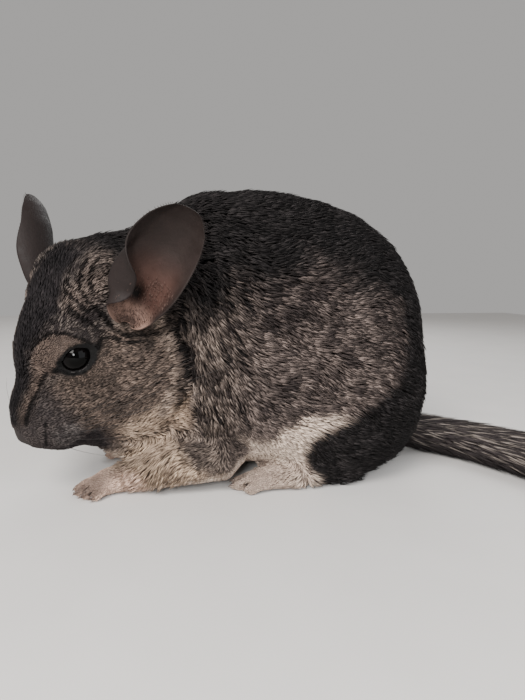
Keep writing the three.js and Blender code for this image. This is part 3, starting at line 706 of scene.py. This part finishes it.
# Roughness, variation of the tone and its noise scale, specular level, relief and its noise scale.
coat_material = toned("coat", 0.8, 0.14, 420, 0.1)
tail_material = toned("tail_brush", 0.7, 0.18, 380, 0.15)
skin_material = toned("skin", 0.8, 0.2, 500, 0.15, 0.6, 1400)
ear_material = toned("ear_skin", 0.62, 0.12, 260, 0.14, 0.35, 1100)
bare_material = toned("bare_skin", 0.5, 0.15, 700, 0.35, 0.5, 2200)
lid_material = toned("lid", 0.6, 0.1, 900, 0.2, 0.3, 2500)
claw_material = toned("claw", 0.35, 0.15, 600, 0.5)
whisker_material = toned("whisker", 0.4, 0.1, 200, 0.4)


def skin_piece():
    outer = skin_points + skin_normals * coat_depth(skin_points)[:, None]
    dark, pale, share = colour_zones(outer, skin_normals)
    tone = mix(dark, pale, 0.35 * share[:, None]) * 0.7
    middles, normals, _ = face_middles(skin_points, skin_faces)
    cells = unwrap(middles, normals)
    axis = cells[1] // 2
    places = []
    for corner in range(4):
        p = skin_points[skin_faces[:, corner]]
        picked = np.arange(len(p))
        moved = (cells[0], cells[1], p[picked, (axis + 1) % 3], p[picked, (axis + 2) % 3])
        places.append(bake_places(p, normals, moved))
    mesh = new_mesh("skin", skin_points, skin_faces, tone, np.stack(places, 1).reshape(-1, 2))
    piece = new_piece("skin", mesh, skin_material)
    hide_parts(*FLESH)


skin_piece()


# Coat

def flow(points, normals):
    """The way the hair lies, along the surface: back over the head and body, down the rump and limbs."""
    head = head_share(points)[:, None]
    x, _, z = points.T
    aside = to_head(points)[:, 1]
    back = -AHEAD + LEFT * (0.035 * aside[:, None]) - 0.1 * UP
    fall = mix(0.2, 0.85, smooth(-5, -35, x))
    fall = mix(fall, 0.55, smooth(20, 45, x))
    along = np.stack([np.ones(len(x)), np.zeros(len(x)), -fall], 1)
    down = np.array([0.25, 0.0, -1.0])
    steep = np.maximum(smooth(0.35, 0.95, normals[:, 0]), smooth(0.3, 0.9, -normals[:, 0]))[:, None]
    along = mix(along, down, steep)
    way = mix(along, back, head)
    forearm = np.minimum(*[
        distance_to_path(points, np.array([elbow, paw])) for elbow, paw in zip(ELBOWS, FORE_PAWS)
    ])
    forearm = (1 - smooth(12, 18, forearm)) * smooth(27, 20, z)
    way = mix(way, np.array([-0.75, 0.0, -0.6]), forearm[:, None])
    feet = np.minimum.reduce([lengths((points - paw) * [0.6, 1, 1]) for paw in PAWS])
    way = mix(way, np.array([-1.0, 0.0, -0.25]), (1 - smooth(8, 13, feet))[:, None])
    swirl = 0.5 * noise(points, 14, 21) + 0.3 * noise(points, 5, 22)
    way = unit(way - normals * (way * normals).sum(1)[:, None])
    return unit(way + np.cross(normals, way) * swirl[:, None])


# Corners of a tuft: two rings of three and the tip, and the triangles between them.
TUFT_FACES = [[0, 2, 1]]
for i in range(3):
    j = (i + 1) % 3
    TUFT_FACES += [[i, j, 3 + j], [i, 3 + j, 3 + i], [3 + i, 3 + j, 6]]
TUFT_FACES = np.array(TUFT_FACES)
TUFT_PATCH = np.array([[-0.5, -0.5], [0, -0.4], [0.5, -0.5], [-0.5, 0], [0, 0.12], [0.5, 0], [0, 0.5]])
TUFT_PATCH *= 0.0028  # of the bake map for each tuft
TUFTS_A_PIECE = 18000
CLUMP = 2.0  # mm across
TUFT_RISE, TUFT_WIDTH = (25, 42), (0.36, 0.84)  # degrees and mm, on the shortest and the longest coat
# Depths of the coat, and the number of tufts on each square mm there.
TUFTS_A_SQUARE = [0.4, 1.2, 2.5, BODY_COAT_DEPTH], [4.4, 3.8, 2.9, 1.65]


def tuft_mesh(name, lines, sides, widths, thickness, tones, bake):
    """Tapered three-sided tufts. lines holds root, middle and tip, sides the flat way of each."""
    count = len(lines)
    way = unit(lines[:, 2] - lines[:, 0])
    over = unit(np.cross(sides, way))
    rings = []
    for level, swell in ((0, 0.6), (1, 1.0)):
        for turn in (90, 210, 330):
            a = math.radians(turn)
            offset = sides * math.cos(a) + over * math.sin(a) * thickness
            rings.append(lines[:, level] + offset * (widths * swell / 2)[:, None])
    points = np.stack([*rings, lines[:, 2]], 1)
    colours = np.stack([tones[:, 0]] * 3 + [tones[:, 1]] * 3 + [tones[:, 2]], 1)
    faces = (TUFT_FACES[None] + 7 * np.arange(count)[:, None, None]).reshape(-1, 3)
    corners = (bake[:, None] + TUFT_PATCH[None]).reshape(-1, 2)[faces.ravel()]
    return new_mesh(name, points.reshape(-1, 3), faces, colours.reshape(-1, 3), corners)


def scatter(density):
    """Roots over the skin, with about density(points, normals) of them on each square mm."""
    middles, normals, areas = face_middles(skin_points, skin_faces)
    wanted = areas * density(middles, normals)
    count = np.floor(wanted + rng.random(len(wanted))).astype(int)
    face = np.repeat(np.arange(len(count)), count)
    u, v = rng.random((2, len(face), 1))
    a, b, c, d = (skin_points[skin_faces[face, n]] for n in range(4))
    na, nb, nc, nd = (skin_normals[skin_faces[face, n]] for n in range(4))
    roots = mix(mix(a, b, u), mix(d, c, u), v)
    return roots, unit(mix(mix(na, nb, u), mix(nd, nc, u), v))


def in_opening(points, margin):
    """Points between the lids or within margin mm of their edge."""
    found = np.zeros(len(points), bool)
    for number in range(2):
        _, _, front, off_edge = off_eye(number, points)
        found |= (off_edge < margin) & (front > 0)
    return found


def coat_density(points, normals):
    depth = coat_depth(points)
    density = np.interp(depth, *TUFTS_A_SQUARE)
    hidden = smooth(0.5, 0.9, -normals[:, 2]) * (1 - smooth(14, 24, points[:, 2]))
    return density * (1 - 0.6 * hidden)


def nearest_leader(roots, size):
    """For each tuft the number of the nearest of the tufts that lead a clump of about size mm."""
    leaders = np.flatnonzero(rng.random(len(roots)) < 1 / (size ** 2 * 1.6))
    tree = KDTree(len(leaders))
    for n, leader in enumerate(leaders):
        tree.insert(roots[leader], n)
    tree.balance()
    return leaders[[tree.find(root)[1] for root in roots]]


def build_coat():
    roots, normals = scatter(coat_density)
    keep = ~in_opening(roots, 0.9) & (roots[:, 2] > 0.3)
    keep &= lengths(roots - on_head(NOSE_PLACE + [1.6, 0, 0])) > 4.2
    roots, normals = roots[keep], normals[keep]
    count = len(roots)
    depth = coat_depth(roots)
    way = flow(roots, normals)
    size = smooth(0.4, BODY_COAT_DEPTH, depth)
    random = rng.random((count, 6))
    steep = np.radians(mix(*TUFT_RISE, size)) * (0.8 + 0.4 * random[:, 0]) * (1 + 0.2 * noise(roots, 8, 31))
    _, _, chest = body_zones(roots, normals)
    fringe = chest * (1 - head_share(roots)) * smooth(1.2, 3, depth)
    length = (0.55 + 1.7 * depth) * (0.86 + 0.24 * random[:, 1]) * (1 + 0.35 * fringe)
    side = np.cross(way, normals)
    heading = unit(way + side * ((random[:, 2] - 0.5) * 0.55)[:, None])
    rising = heading * np.cos(steep)[:, None] + normals * np.sin(steep)[:, None]
    lying = heading * np.cos(steep * 0.2)[:, None] + normals * np.sin(steep * 0.2)[:, None]
    start = roots - normals * mix(0.1, 0.35, size)[:, None]
    middle = start + rising * (length * 0.6)[:, None]
    tip = middle + lying * (length * 0.44)[:, None]
    leader = nearest_leader(roots, CLUMP)
    pull = (0.38 * size * (0.5 + 0.5 * random[:, 3]))[:, None]
    tip = tip + (tip[leader] - tip) * pull
    middle = middle + (middle[leader] - middle) * pull * 0.5
    tip[:, 2] = np.maximum(tip[:, 2], 0.25)
    middle[:, 2] = np.maximum(middle[:, 2], 0.4)
    seen = roots + way * (length * 0.6)[:, None] + normals * (depth * 0.9)[:, None]
    dark, pale, share = colour_zones(seen, normals)
    patch = 0.5 + 0.5 * noise(seen[leader], 5, 41)
    flecked = rng.random(count)[leader] - 0.5
    paleness = share + 0.5 * flecked + 0.16 * (random[:, 4] - 0.5) + 0.34 * (patch - 0.5)
    paleness = smooth(0.05, 1.05, paleness)[:, None]
    tone = mix(dark, pale, paleness) * (0.86 + 0.2 * random[:, 5:6])
    under = mix(dark, pale, 0.1) * 0.5
    ends = mix(dark, pale, paleness * 0.85) * 0.9
    tones = np.stack([under, tone, ends], 1)
    width = mix(*TUFT_WIDTH, size) * (0.8 + 0.4 * random[:, 0])
    bake = bake_places(roots, normals)
    lines = np.stack([start, middle, tip], 1)
    sides = unit(np.cross(rising, normals))
    on = head_share(roots) > 0.5
    order = np.argsort(np.where(on, 1e4, 0) + roots[:, 0] + 300 * (roots[:, 1] > 0))
    for number, members in enumerate(np.array_split(order, math.ceil(count / TUFTS_A_PIECE)), 1):
        mesh = tuft_mesh(f"coat_{number}", lines[members], sides[members], width[members], 0.5,
                         tones[members], bake[members])
        new_piece(f"coat_{number}", mesh, coat_material)


build_coat()


# Eyes and lids

BALL_INSET, CORNEA = 0.25, 0.35  # the ball inside the eye's radius, and its bulge in front, in mm
LID_TONE, LOWER_LID_TONE = rgb(16, 14, 14), rgb(34, 30, 29)
# Section of the lids: distance out from the opening's edge and height over the ball, in mm.
LID_SECTION = [
    (0, 0.02), (0.05, 0.4), (0.4, 0.65), (1.1, 0.8), (2.0, 0.75), (3.0, 0.4), (2.9, -0.6), (1.2, -0.1),
]


def build_eye(number, side):
    columns, rows = 64, 40
    aim, along, across = eye_axes(number)
    points = []
    for i in range(rows):
        polar = math.pi * (i + 0.5) / rows
        for j in range(columns):
            a = 2 * math.pi * j / columns
            ray = aim * math.cos(polar) + (along * math.cos(a) + across * math.sin(a)) * math.sin(polar)
            cornea = CORNEA * math.exp(-((polar / 0.55) ** 2))
            points.append(EYES[number] + ray * (EYE_RADIUS - BALL_INSET + cornea))
    front, rear = EYE_RADIUS - BALL_INSET + CORNEA, EYE_RADIUS - BALL_INSET
    points = np.array([*points, EYES[number] + aim * front, EYES[number] - aim * rear])
    turn = unit(points - EYES[number]) @ aim
    pupil = smooth(0.86, 0.93, turn)[:, None]
    white = smooth(0.5, 0.35, turn)[:, None]
    tone = mix(mix(rgb(4, 3, 3), rgb(1, 1, 1), pupil), rgb(34, 26, 24), white * 0.6)
    triangles = ball_faces(rows, columns)[:, ::-1 if number == 0 else 1]
    mesh = new_mesh(f"eyeball_{side}", points, triangles, tone)
    piece = new_piece(f"eyeball_{side}", mesh, eye_material)
    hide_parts(f"eye_{side}")


def build_lids(number, side):
    """A soft dark rim round the opening, over the eye and into the coat."""
    steps = 72
    aim, along, across = eye_axes(number)
    points = []
    for step in range(steps):
        angle = 2 * math.pi * step / steps
        a, b = opening_at(angle)
        edge = math.hypot(a, b)
        way = (along * a + across * b) / edge
        upper = max(0.0, math.sin(angle))
        for out, height in LID_SECTION:
            polar = math.asin(min(0.985, edge / EYE_RADIUS)) + out / EYE_RADIUS * 0.9
            lifted = EYE_RADIUS + height * (1 + 0.25 * upper)
            points.append(EYES[number] + (aim * math.cos(polar) + way * math.sin(polar)) * lifted)
    points = np.array(points)
    columns = len(LID_SECTION)
    faces = loft_faces(steps, columns)
    last = (steps - 1) * columns
    closing = [[last + j, last + (j + 1) % columns, (j + 1) % columns, j] for j in range(columns)]
    faces = np.concatenate([faces, closing])
    tone = np.tile(LID_TONE, (steps, columns, 1))
    lower = smooth(0.1, -0.6, np.sin(2 * np.pi * np.arange(steps) / steps))
    tone[:, 1] = mix(LID_TONE, LOWER_LID_TONE, lower[:, None])
    mesh = new_mesh(f"lids_{side}", points, faces[:, ::-1 if number == 0 else 1], tone.reshape(-1, 3))
    new_piece(f"lids_{side}", mesh, lid_material)


def glossy_eye():
    material, nodes, links, bsdf = shader("eye", 0.05, specular=0.5)
    bsdf.inputs["IOR"].default_value = 1.19
    add_tone(nodes, links, bsdf, 900, 0.2)
    return material


eye_material = glossy_eye()
for number, side in enumerate(SIDES):
    build_eye(number, side)
    build_lids(number, side)


# Ears: thin cups whose front edge folds in, with a canal low inside: a shallow pit painted near-black as
# painted shade.

EAR_WIDTH, EAR_WIDEST, EAR_ROUNDNESS = 32.0, 0.41, 1.83
EAR_CURL, EAR_CURL_LOSS = 104, 56  # degrees at the root, and how many fewer near the tip
EAR_FACING, EAR_LEAN = np.array([0.8, 0.59, 0.09]), (1.7, 4.9)
EAR_BACK, EAR_INSIDE, EAR_PINK = rgb(34, 28, 27), rgb(38, 31, 29), rgb(70, 49, 43)
# The near-black of the canal is painted shade.
EAR_BASE, CANAL_SHADE = rgb(138, 112, 101), rgb(14, 10, 9)
LOW_HAIRS, EDGE_HAIRS, EAR_HAIR_WIDTH = 850, 420, 0.17


def ear_section(share, columns, fold):
    """Points across the ear at a share of its length, as mm toward its front and its open side."""
    reach = EAR_WIDEST if share < EAR_WIDEST else 1 - EAR_WIDEST
    half = EAR_WIDTH / 2 * math.sqrt(1 - (abs(share - EAR_WIDEST) / reach) ** EAR_ROUNDNESS)
    curl = math.radians(EAR_CURL - EAR_CURL_LOSS * min(1, share / 0.85) ** 1.2)
    c = np.linspace(-1, 1, columns)
    rolled = (1 - smooth(0.42, 0.74, share)) * smooth(0.16, 0.34, share) * fold
    angle = curl * c + math.radians(100) * rolled * smooth(0.45, 0.7, c)
    step = half * 2 / (columns - 1) * (1 + 0.5 * rolled * smooth(0, 0.15, c[1:]))
    front = np.concatenate([[0], np.cumsum(np.cos((angle[1:] + angle[:-1]) / 2) * step)])
    toward = np.concatenate([[0], np.cumsum(np.sin((angle[1:] + angle[:-1]) / 2) * step)])
    front, toward = front - front[columns // 2], toward - toward[columns // 2]
    toward = toward - min(0.35 * half / curl, 7 * share) + EAR_LEAN[0] * share ** 2
    return c, angle, front - EAR_LEAN[1] * share ** 2, toward


def ear_tone(share, c, inner):
    if not inner:
        return EAR_BACK * (1 - 0.25 * share)
    pink = smooth(0.66, 0.3, share) * smooth(0.9, 0.3, abs(c + 0.15))
    tone = mix(EAR_INSIDE, EAR_PINK, 0.9 * pink)
    tone = mix(tone, EAR_BASE, smooth(0.22, 0.1, share))
    # Painted shade: the canal's pit is painted near-black.
    canal_shade = math.exp(-((share - 0.24) / 0.05) ** 2 - ((c - 0.1) / 0.18) ** 2)
    tone = mix(tone, CANAL_SHADE, min(1, 1.3 * canal_shade))
    # Painted shade on the front flap, where the edge folds in: about a third darker. The inside is also a
    # fifth darker toward the tip.
    return tone * (1 - 0.35 * smooth(0.5, 0.7, c)) * (1 - 0.2 * smooth(0.5, 1, share))


def build_ear(side, sign):
    columns, rows = 61, 56
    root, tip = on_head(EAR_ROOT * [1, sign, 1]), on_head(EAR_TIP * [1, sign, 1])
    along = unit(tip - root)
    length = np.linalg.norm(tip - root)
    facing = (EAR_FACING * [1, sign, 1]) @ HEAD_AXES
    facing = unit(facing - along * (facing @ along))
    front = np.cross(along, facing) * -sign
    points, tones = [], []
    inner = np.zeros((rows, columns, 3))
    for i in range(rows):
        share = 0.012 + 0.968 * (0.5 - 0.5 * math.cos(math.pi * i / (rows - 1)))
        c, angle, forward, toward = ear_section(share, columns, 1.0 if sign > 0 else 0.0)
        thick = (0.6 - 0.25 * share) * (1 - 0.5 * np.abs(c) ** 6)
        thick = thick * min(1, 0.45 + 6 * min(share, 1 - share))
        ridge = 0.5 * np.sin(c * 9 + 1.5 + share * 4) * (1 - np.abs(c))
        ridge *= math.exp(-((share - 0.42) / 0.16) ** 2)
        pit = 1.6 * np.exp(-((share - 0.26) / 0.06) ** 2 - ((c - 0.1) / 0.2) ** 2)
        wave = 0.3 * math.sin(share * 17) * c ** 2
        for face in (1, -1):
            for j in (range(columns) if face == 1 else reversed(range(columns))):
                place = root + along * (share * length) + front * forward[j] + facing * (toward[j] + wave[j])
                out = -front * math.sin(angle[j]) + facing * math.cos(angle[j])
                place = place + out * (face * thick[j] + (1 if face == 1 else 0.4) * ridge[j] - pit[j])
                points.append(place)
                tones.append(ear_tone(share, c[j], face == 1))
                if face == 1:
                    inner[i, j] = place
    loop = columns * 2
    faces = loft_faces(rows, loop).tolist()
    for start, turned in ((0, False), ((rows - 1) * loop, True)):
        for j in range(columns - 1):
            strip = [start + j, start + loop - 1 - j, start + loop - 2 - j, start + j + 1]
            faces.append(strip[::-1] if turned else strip)
    faces = np.array(faces)
    if sign > 0:
        faces = faces[:, ::-1]
    mesh = new_mesh(f"pinna_{side}", np.array(points), faces, np.array(tones))
    piece = new_piece(f"pinna_{side}", mesh, ear_material)
    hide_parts(f"ear_{side}")
    return inner, along, facing, front


def ear_hairs(side, inner, along, facing, front):
    """Sparse pale hair low inside the ear and short down along its edge."""
    rows, columns = inner.shape[:2]
    low, edge = LOW_HAIRS, EDGE_HAIRS
    random = rng.random((low + edge, 6))
    row = np.concatenate([2 + 23 * random[:low, 0] ** 1.5, 6 + (rows - 10) * random[low:, 0]]).astype(int)
    rim = np.where(random[low:, 1] < 0.5, 0.5, columns - 1.5)
    column = np.concatenate([2 + (columns - 5) * random[:low, 1], rim]).astype(int)
    roots = inner[row, column]
    c = column / (columns - 1) * 2 - 1
    inward = facing[None] - front[None] * (0.8 * c)[:, None]
    rise = np.concatenate([0.9 + 0.4 * random[:low, 2], 0.9 + 0.3 * random[low:, 2]])
    way = unit(along[None] * rise[:, None] + inward * 0.5 + 0.35 * (random[:, 3:4] - 0.5) * front[None])
    outward = unit(along[None] * 0.8 + front[None] * np.sign(c)[:, None] + 0.3 * facing[None])
    way[low:] = outward[low:]
    length = np.concatenate([1.2 + 1.8 * random[:low, 4], 0.7 + 0.6 * random[low:, 4]])
    bend = np.concatenate([np.full(low, 0.25), np.full(edge, 0.1)])[:, None]
    tip = roots + way * length[:, None]
    middle = roots + unit(way + inward * bend) * (length * 0.55)[:, None]
    tone = np.where(np.arange(low + edge)[:, None] < low, rgb(96, 78, 71), rgb(40, 34, 33))
    tone = tone * (0.75 + 0.4 * random[:, 5:6])
    tones = np.stack([tone * 0.6, tone, tone], 1)
    width = np.full(low + edge, EAR_HAIR_WIDTH)
    sides = unit(np.cross(way, facing + 0.01))
    bake = np.stack([0.03 + 0.94 * row / rows, 0.03 + 0.94 * column / columns], 1)
    mesh = tuft_mesh(f"ear_hair_{side}", np.stack([roots, middle, tip], 1), sides, width, 0.5, tones, bake)
    new_piece(f"ear_hair_{side}", mesh, coat_material)


for side, sign in SIDES.items():
    ear_hairs(side, *build_ear(side, sign))


# Tail: a core with long coarse hair that lies back along it, pressed a little flat on the floor.

TAIL_POINTS = np.array([
    [50, 0, 20], [72, -3, 11], [92, -15, 8.5], [106, -37, 8], [114, -63, 8], [118, -91, 8], [119, -118, 7.5],
], float)
TAIL_LENGTH, TAIL_HAIR, TAIL_HEIGHT = 124.0, 34.0, 9.5
TAIL_HAIRS, TAIL_PALE_SHARE = 13000, 0.3


def between(a, b, from_knot, to_knot, knot):
    return a + (b - a) * (knot - from_knot) / (to_knot - from_knot)


def spline(points, steps):
    """Evenly spaced points along the centripetal curve through the given ones, and its length."""
    p = np.vstack([2 * points[0] - points[1], points, 2 * points[-1] - points[-2]])
    curve = []
    for a, b, c, d in zip(p[:-3], p[1:-2], p[2:-1], p[3:]):
        gaps = [np.linalg.norm(b - a), np.linalg.norm(c - b), np.linalg.norm(d - c)]
        k = np.concatenate([[0], np.cumsum(np.sqrt(gaps))])
        t = np.linspace(k[1], k[2], 60, endpoint=False)[:, None]
        ab, bc, cd = (between(*pair, k[n], k[n + 1], t) for n, pair in enumerate([(a, b), (b, c), (c, d)]))
        curve.append(between(between(ab, bc, k[0], k[2], t), between(bc, cd, k[1], k[3], t), k[1], k[2], t))
    curve = np.concatenate([*curve, points[-1:]])
    reach = np.concatenate([[0], np.cumsum(lengths(np.diff(curve, axis=0)))])
    wanted = np.linspace(0, reach[-1], steps)
    return interpolated(wanted, reach, curve), reach[-1]


tail_line, tail_reach = spline(TAIL_POINTS, 400)
tail_ways = unit(np.gradient(tail_line, axis=0))
CORE_SHARE = TAIL_LENGTH / tail_reach


def tail_at(share):
    """Middle, side and upward direction of the tail at shares of its length."""
    where = np.clip(share, 0, 1) * (len(tail_line) - 1)
    steps = np.arange(len(tail_line))
    way = unit(interpolated(where, steps, tail_ways))
    side = unit(np.cross([0, 0, 1], way))
    return interpolated(where, steps, tail_line), side, np.cross(way, side)


def brush_width(share):
    swell = np.sin(np.pi * np.minimum(1, share) ** 1.4)
    return 9 + 9 * swell - 7 * (np.maximum(0, share - 0.6) / 0.4) ** 2


def tail_place(share, turn, out):
    """A point beside the tail's middle line. out is 1 at the longest tips."""
    middle, side, over = tail_at(share)
    wide = out * brush_width(share)
    high = np.minimum(wide, out * TAIL_HEIGHT)
    place = middle + side * (wide * np.cos(turn))[:, None] + over * (high * np.sin(turn))[:, None]
    place[:, 2] = np.maximum(place[:, 2], 0.5)
    return place


def build_tail():
    rows, columns = 60, 16
    share = np.repeat(np.linspace(0.0, CORE_SHARE, rows), columns)
    turn = np.tile(2 * np.pi * np.arange(columns) / columns, rows)
    taper = np.clip((CORE_SHARE - share) / 0.05, 0.05, 1) ** 0.5
    points = tail_place(share, turn, 0.42 * taper)
    faces = loft_faces(rows, columns)
    tone = np.tile(rgb(44, 39, 39), (len(points), 1))
    mesh = new_mesh("tail_core", points, faces[:, ::-1], tone)
    core = new_piece("tail_core", mesh, skin_material)
    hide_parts("tail_base", "tail_middle", "tail_tip")
    count = TAIL_HAIRS
    random = rng.random((count, 8))
    root = CORE_SHARE * (0.02 + 0.97 * random[:, 0] ** 0.9)
    turn = 2 * np.pi * random[:, 1]
    hair = np.minimum(TAIL_HAIR, 17 + 30 * root) * (0.7 + 0.35 * random[:, 2])
    reach = np.minimum(1.08 * hair / tail_reach, 0.995 - root)
    loft = 0.55 + 0.47 * random[:, 3]
    twist = (random[:, 4] - 0.5) * 0.5
    lines = np.stack([
        tail_place(root, turn, 0.3 * np.ones(count)),
        tail_place(root + 0.42 * reach, turn + 0.4 * twist, 0.78 * loft),
        tail_place(root + reach, turn + twist, loft),
    ], 1)
    # Painted shade underneath, where the tail lies on the floor: fewer pale hairs and a mix toward
    # near-black.
    under = smooth(0.1, -0.8, np.sin(turn))
    pale = random[:, 5:6] < TAIL_PALE_SHARE * (1 - under[:, None])
    tone = np.where(pale, rgb(128, 119, 112), rgb(56, 50, 50)) * (0.75 + 0.5 * random[:, 6:7])
    tone = mix(tone, rgb(26, 23, 24), under[:, None] * 0.7)
    tones = np.stack([tone * 0.5, tone, mix(tone, rgb(40, 36, 36), 0.55)], 1)
    sides = unit(np.cross(lines[:, 2] - lines[:, 0], lines[:, 1] - tail_at(root + 0.42 * reach)[0]))
    width = 1.0 + 0.5 * random[:, 7]
    bake = 0.02 + 0.96 * np.stack([root / CORE_SHARE, turn / (2 * np.pi)], 1)
    mesh = tuft_mesh("tail_hair", lines, sides, width, 0.45, tones, bake)
    new_piece("tail_hair", mesh, tail_material)


build_tail()


# Nose, whiskers and claws

NOSE_TONE = rgb(82, 68, 66)


def build_nose():
    """A small bare pad with two comma-shaped nostrils and a groove below."""
    rows, columns = 48, 72
    points, tones = [], []
    for i in range(rows):
        polar = math.pi * (i + 0.5) / rows
        for j in range(columns):
            a = 2 * math.pi * j / columns
            forward, ring = math.cos(polar), math.sin(polar)
            aside, over = ring * math.cos(a), ring * math.sin(a)
            local = NOSE_RADII * [forward, aside, over]
            local[1] *= 1 - 0.3 * smooth(0.2, -1.0, over)
            dent = 0.0
            for sign in (1, -1):
                out = aside * sign - 0.5
                q = np.array([out / 0.24, (over + 0.12 - 0.35 * out) / 0.2])
                dent = max(dent, math.exp(-(q @ q)) * (forward > 0))
            groove = math.exp(-((aside / 0.1) ** 2)) * smooth(0.1, -0.3, over) * (forward > 0)
            local = local * (1 - 0.42 * dent - 0.12 * groove)
            points.append(on_head(NOSE_PLACE + local))
            # Painted shade: the nostrils' dents and the groove below are darkened toward near-black.
            tones.append(mix(NOSE_TONE, rgb(12, 10, 10), min(1, 1.2 * dent + 0.5 * groove)))
    points += [on_head(NOSE_PLACE + NOSE_RADII * [end, 0, 0]) for end in (1, -1)]
    tones += [NOSE_TONE] * 2
    mesh = new_mesh("nose", np.array(points), ball_faces(rows, columns)[:, ::-1], np.array(tones))
    new_piece("nose", mesh, bare_material)


build_nose()


def taper(path, radii, sides):
    """A closed tapered tube along a path, as points and triangles."""
    ways = unit(np.gradient(path, axis=0))
    first = unit(np.cross(ways, [0.31, 0.17, 0.94]))
    second = np.cross(ways, first)
    turn = 2 * np.pi * np.arange(sides) / sides
    ring = first[:, None] * np.cos(turn)[None, :, None] + second[:, None] * np.sin(turn)[None, :, None]
    points = (path[:, None] + ring * np.reshape(radii, (-1, 1, 1))).reshape(-1, 3)
    triangles = split_quads(loft_faces(len(path), sides))
    last = (len(path) - 1) * sides
    caps = [[[0, k + 1, k], [last, last + k, last + k + 1]] for k in range(1, sides - 1)]
    return points, np.concatenate([triangles, np.array(caps).reshape(-1, 3)])


def joined_tubes(tubes):
    points, faces, start = [], [], 0
    for tube_points, tube_faces in tubes:
        points.append(tube_points)
        faces.append(tube_faces + start)
        start += len(tube_points)
    return np.concatenate(points), np.concatenate(faces)


def on_outer_skin(place, way):
    """The skin point nearest to a place that faces as way does."""
    off = lengths(skin_points - place) + 6 * (1 - skin_normals @ unit(way))
    return skin_points[np.argmin(off)]


WHISKER_ROWS, WHISKERS_A_ROW = 3, 4
# A claw's line: shares of the toe's reach ahead and outward, and the height in mm.
CLAW_LINE = [(0.9, 1.1, 2.6), (0.98, 1.13, 2.6), (1.04, 1.15, 2.2), (1.08, 1.17, 1.6)]


def build_whiskers():
    tubes = []
    for sign in SIDES.values():
        for row in range(WHISKER_ROWS):
            for n in range(WHISKERS_A_ROW):
                place = on_head([40.5 - 3.1 * n, sign * (8.2 + 1.5 * n), -13 - 2.7 * row + 0.4 * n])
                out = np.array([-0.05 - 0.3 * n, sign * 1.0, 0.3 - 0.16 * row]) @ HEAD_AXES
                root = on_outer_skin(place, out)
                length = (24 + 9 * n) * (0.85 + 0.3 * rng.random())
                t = np.linspace(0, 1, 15)[:, None]
                bend = -AHEAD * 0.6 + np.array([0, 0, -0.3 + 0.15 * rng.random()])
                path = root + unit(out) * (t * length) + bend * (t ** 2 * length * 0.6)
                path[:, 2] = np.maximum(path[:, 2], 0.6)
                tubes.append(taper(path, 0.1 * (1 - 0.8 * t[:, 0]), 4))
    points, faces = joined_tubes(tubes)
    tone = np.tile(rgb(34, 30, 30), (len(points), 1))
    new_piece("whiskers", new_mesh("whiskers", points, faces, tone), whisker_material)


def build_claws():
    tubes = []
    for number in range(4):
        for out, ahead in FORE_TOES if number < 2 else HIND_TOES:
            path = np.array([on_paw(number, ahead * share, out * spread, height)
                             for share, spread, height in CLAW_LINE])
            path = interpolated(np.linspace(0, 3, 10), range(4), path)
            tubes.append(taper(path, 0.5 * (1 - np.linspace(0, 0.9, 10) ** 1.5), 8))
    points, faces = joined_tubes(tubes)
    tone = np.tile(rgb(84, 70, 63), (len(points), 1))
    new_piece("claws", new_mesh("claws", points, faces, tone), claw_material)


build_whiskers()
build_claws()


# Floor, backdrop and light

FLOOR_REACH = 900  # mm
FLOOR_TONES = (0.6, 0.585, 0.57, 1), (0.66, 0.645, 0.63, 1)


def build_stage():
    points = FLOOR_REACH * np.array([[-1, -1, 0], [1, -1, 0], [1, 1, 0], [-1, 1, 0]], float) - SHIFT
    points[:, 2] = 0
    mesh = new_mesh("floor", points, [[0, 1, 2, 3]], smooth_faces=False)
    floor = new_object("floor", mesh)
    material, nodes, links, bsdf = shader("floor", 0.85, specular=0.2)
    ramp = nodes.new("ShaderNodeMix")
    ramp.data_type = "RGBA"
    ramp.inputs["A"].default_value, ramp.inputs["B"].default_value = FLOOR_TONES
    links.new(add_noise(nodes, links, 30), ramp.inputs["Factor"])
    links.new(ramp.outputs["Result"], bsdf.inputs["Base Color"])
    mesh.materials.append(material)


# Place and target in mm, size in metres, power and colour of each light.
LIGHTS = {
    "key": ([-420, -520, 560], [-20, 0, 50], 0.35, 9.5, (1.0, 0.96, 0.92)),
    "catch": ([-214, -482, 226], on_head(EYE_PLACE), 0.1, 2.2, (1, 1, 1)),
    "fill": ([420, -520, 260], [0, 0, 50], 0.6, 3.0, (0.94, 0.97, 1.0)),
    "rim": ([200, 520, 480], [0, 0, 60], 0.4, 2.0, (1, 1, 1)),
}


def add_light(name, place, target, size, power, colour):
    data = bpy.data.lights.new(name, "AREA")
    data.size, data.energy, data.color = size, power, colour
    place, target = to_frame(np.array(place, float)), to_frame(np.array(target, float))
    back = unit(place - target)
    right = unit(np.cross([0, 0, 1], back))
    set_place(new_object(name, data), right, np.cross(back, right), back, place)


def build_light():
    world = bpy.data.worlds.new("world")
    world.use_nodes = True
    background = world.node_tree.nodes["Background"]
    background.inputs["Color"].default_value = (0.86, 0.84, 0.82, 1)
    background.inputs["Strength"].default_value = 0.5
    bpy.context.scene.world = world
    for name, light in LIGHTS.items():
        add_light(name, *light)


build_stage()
build_light()
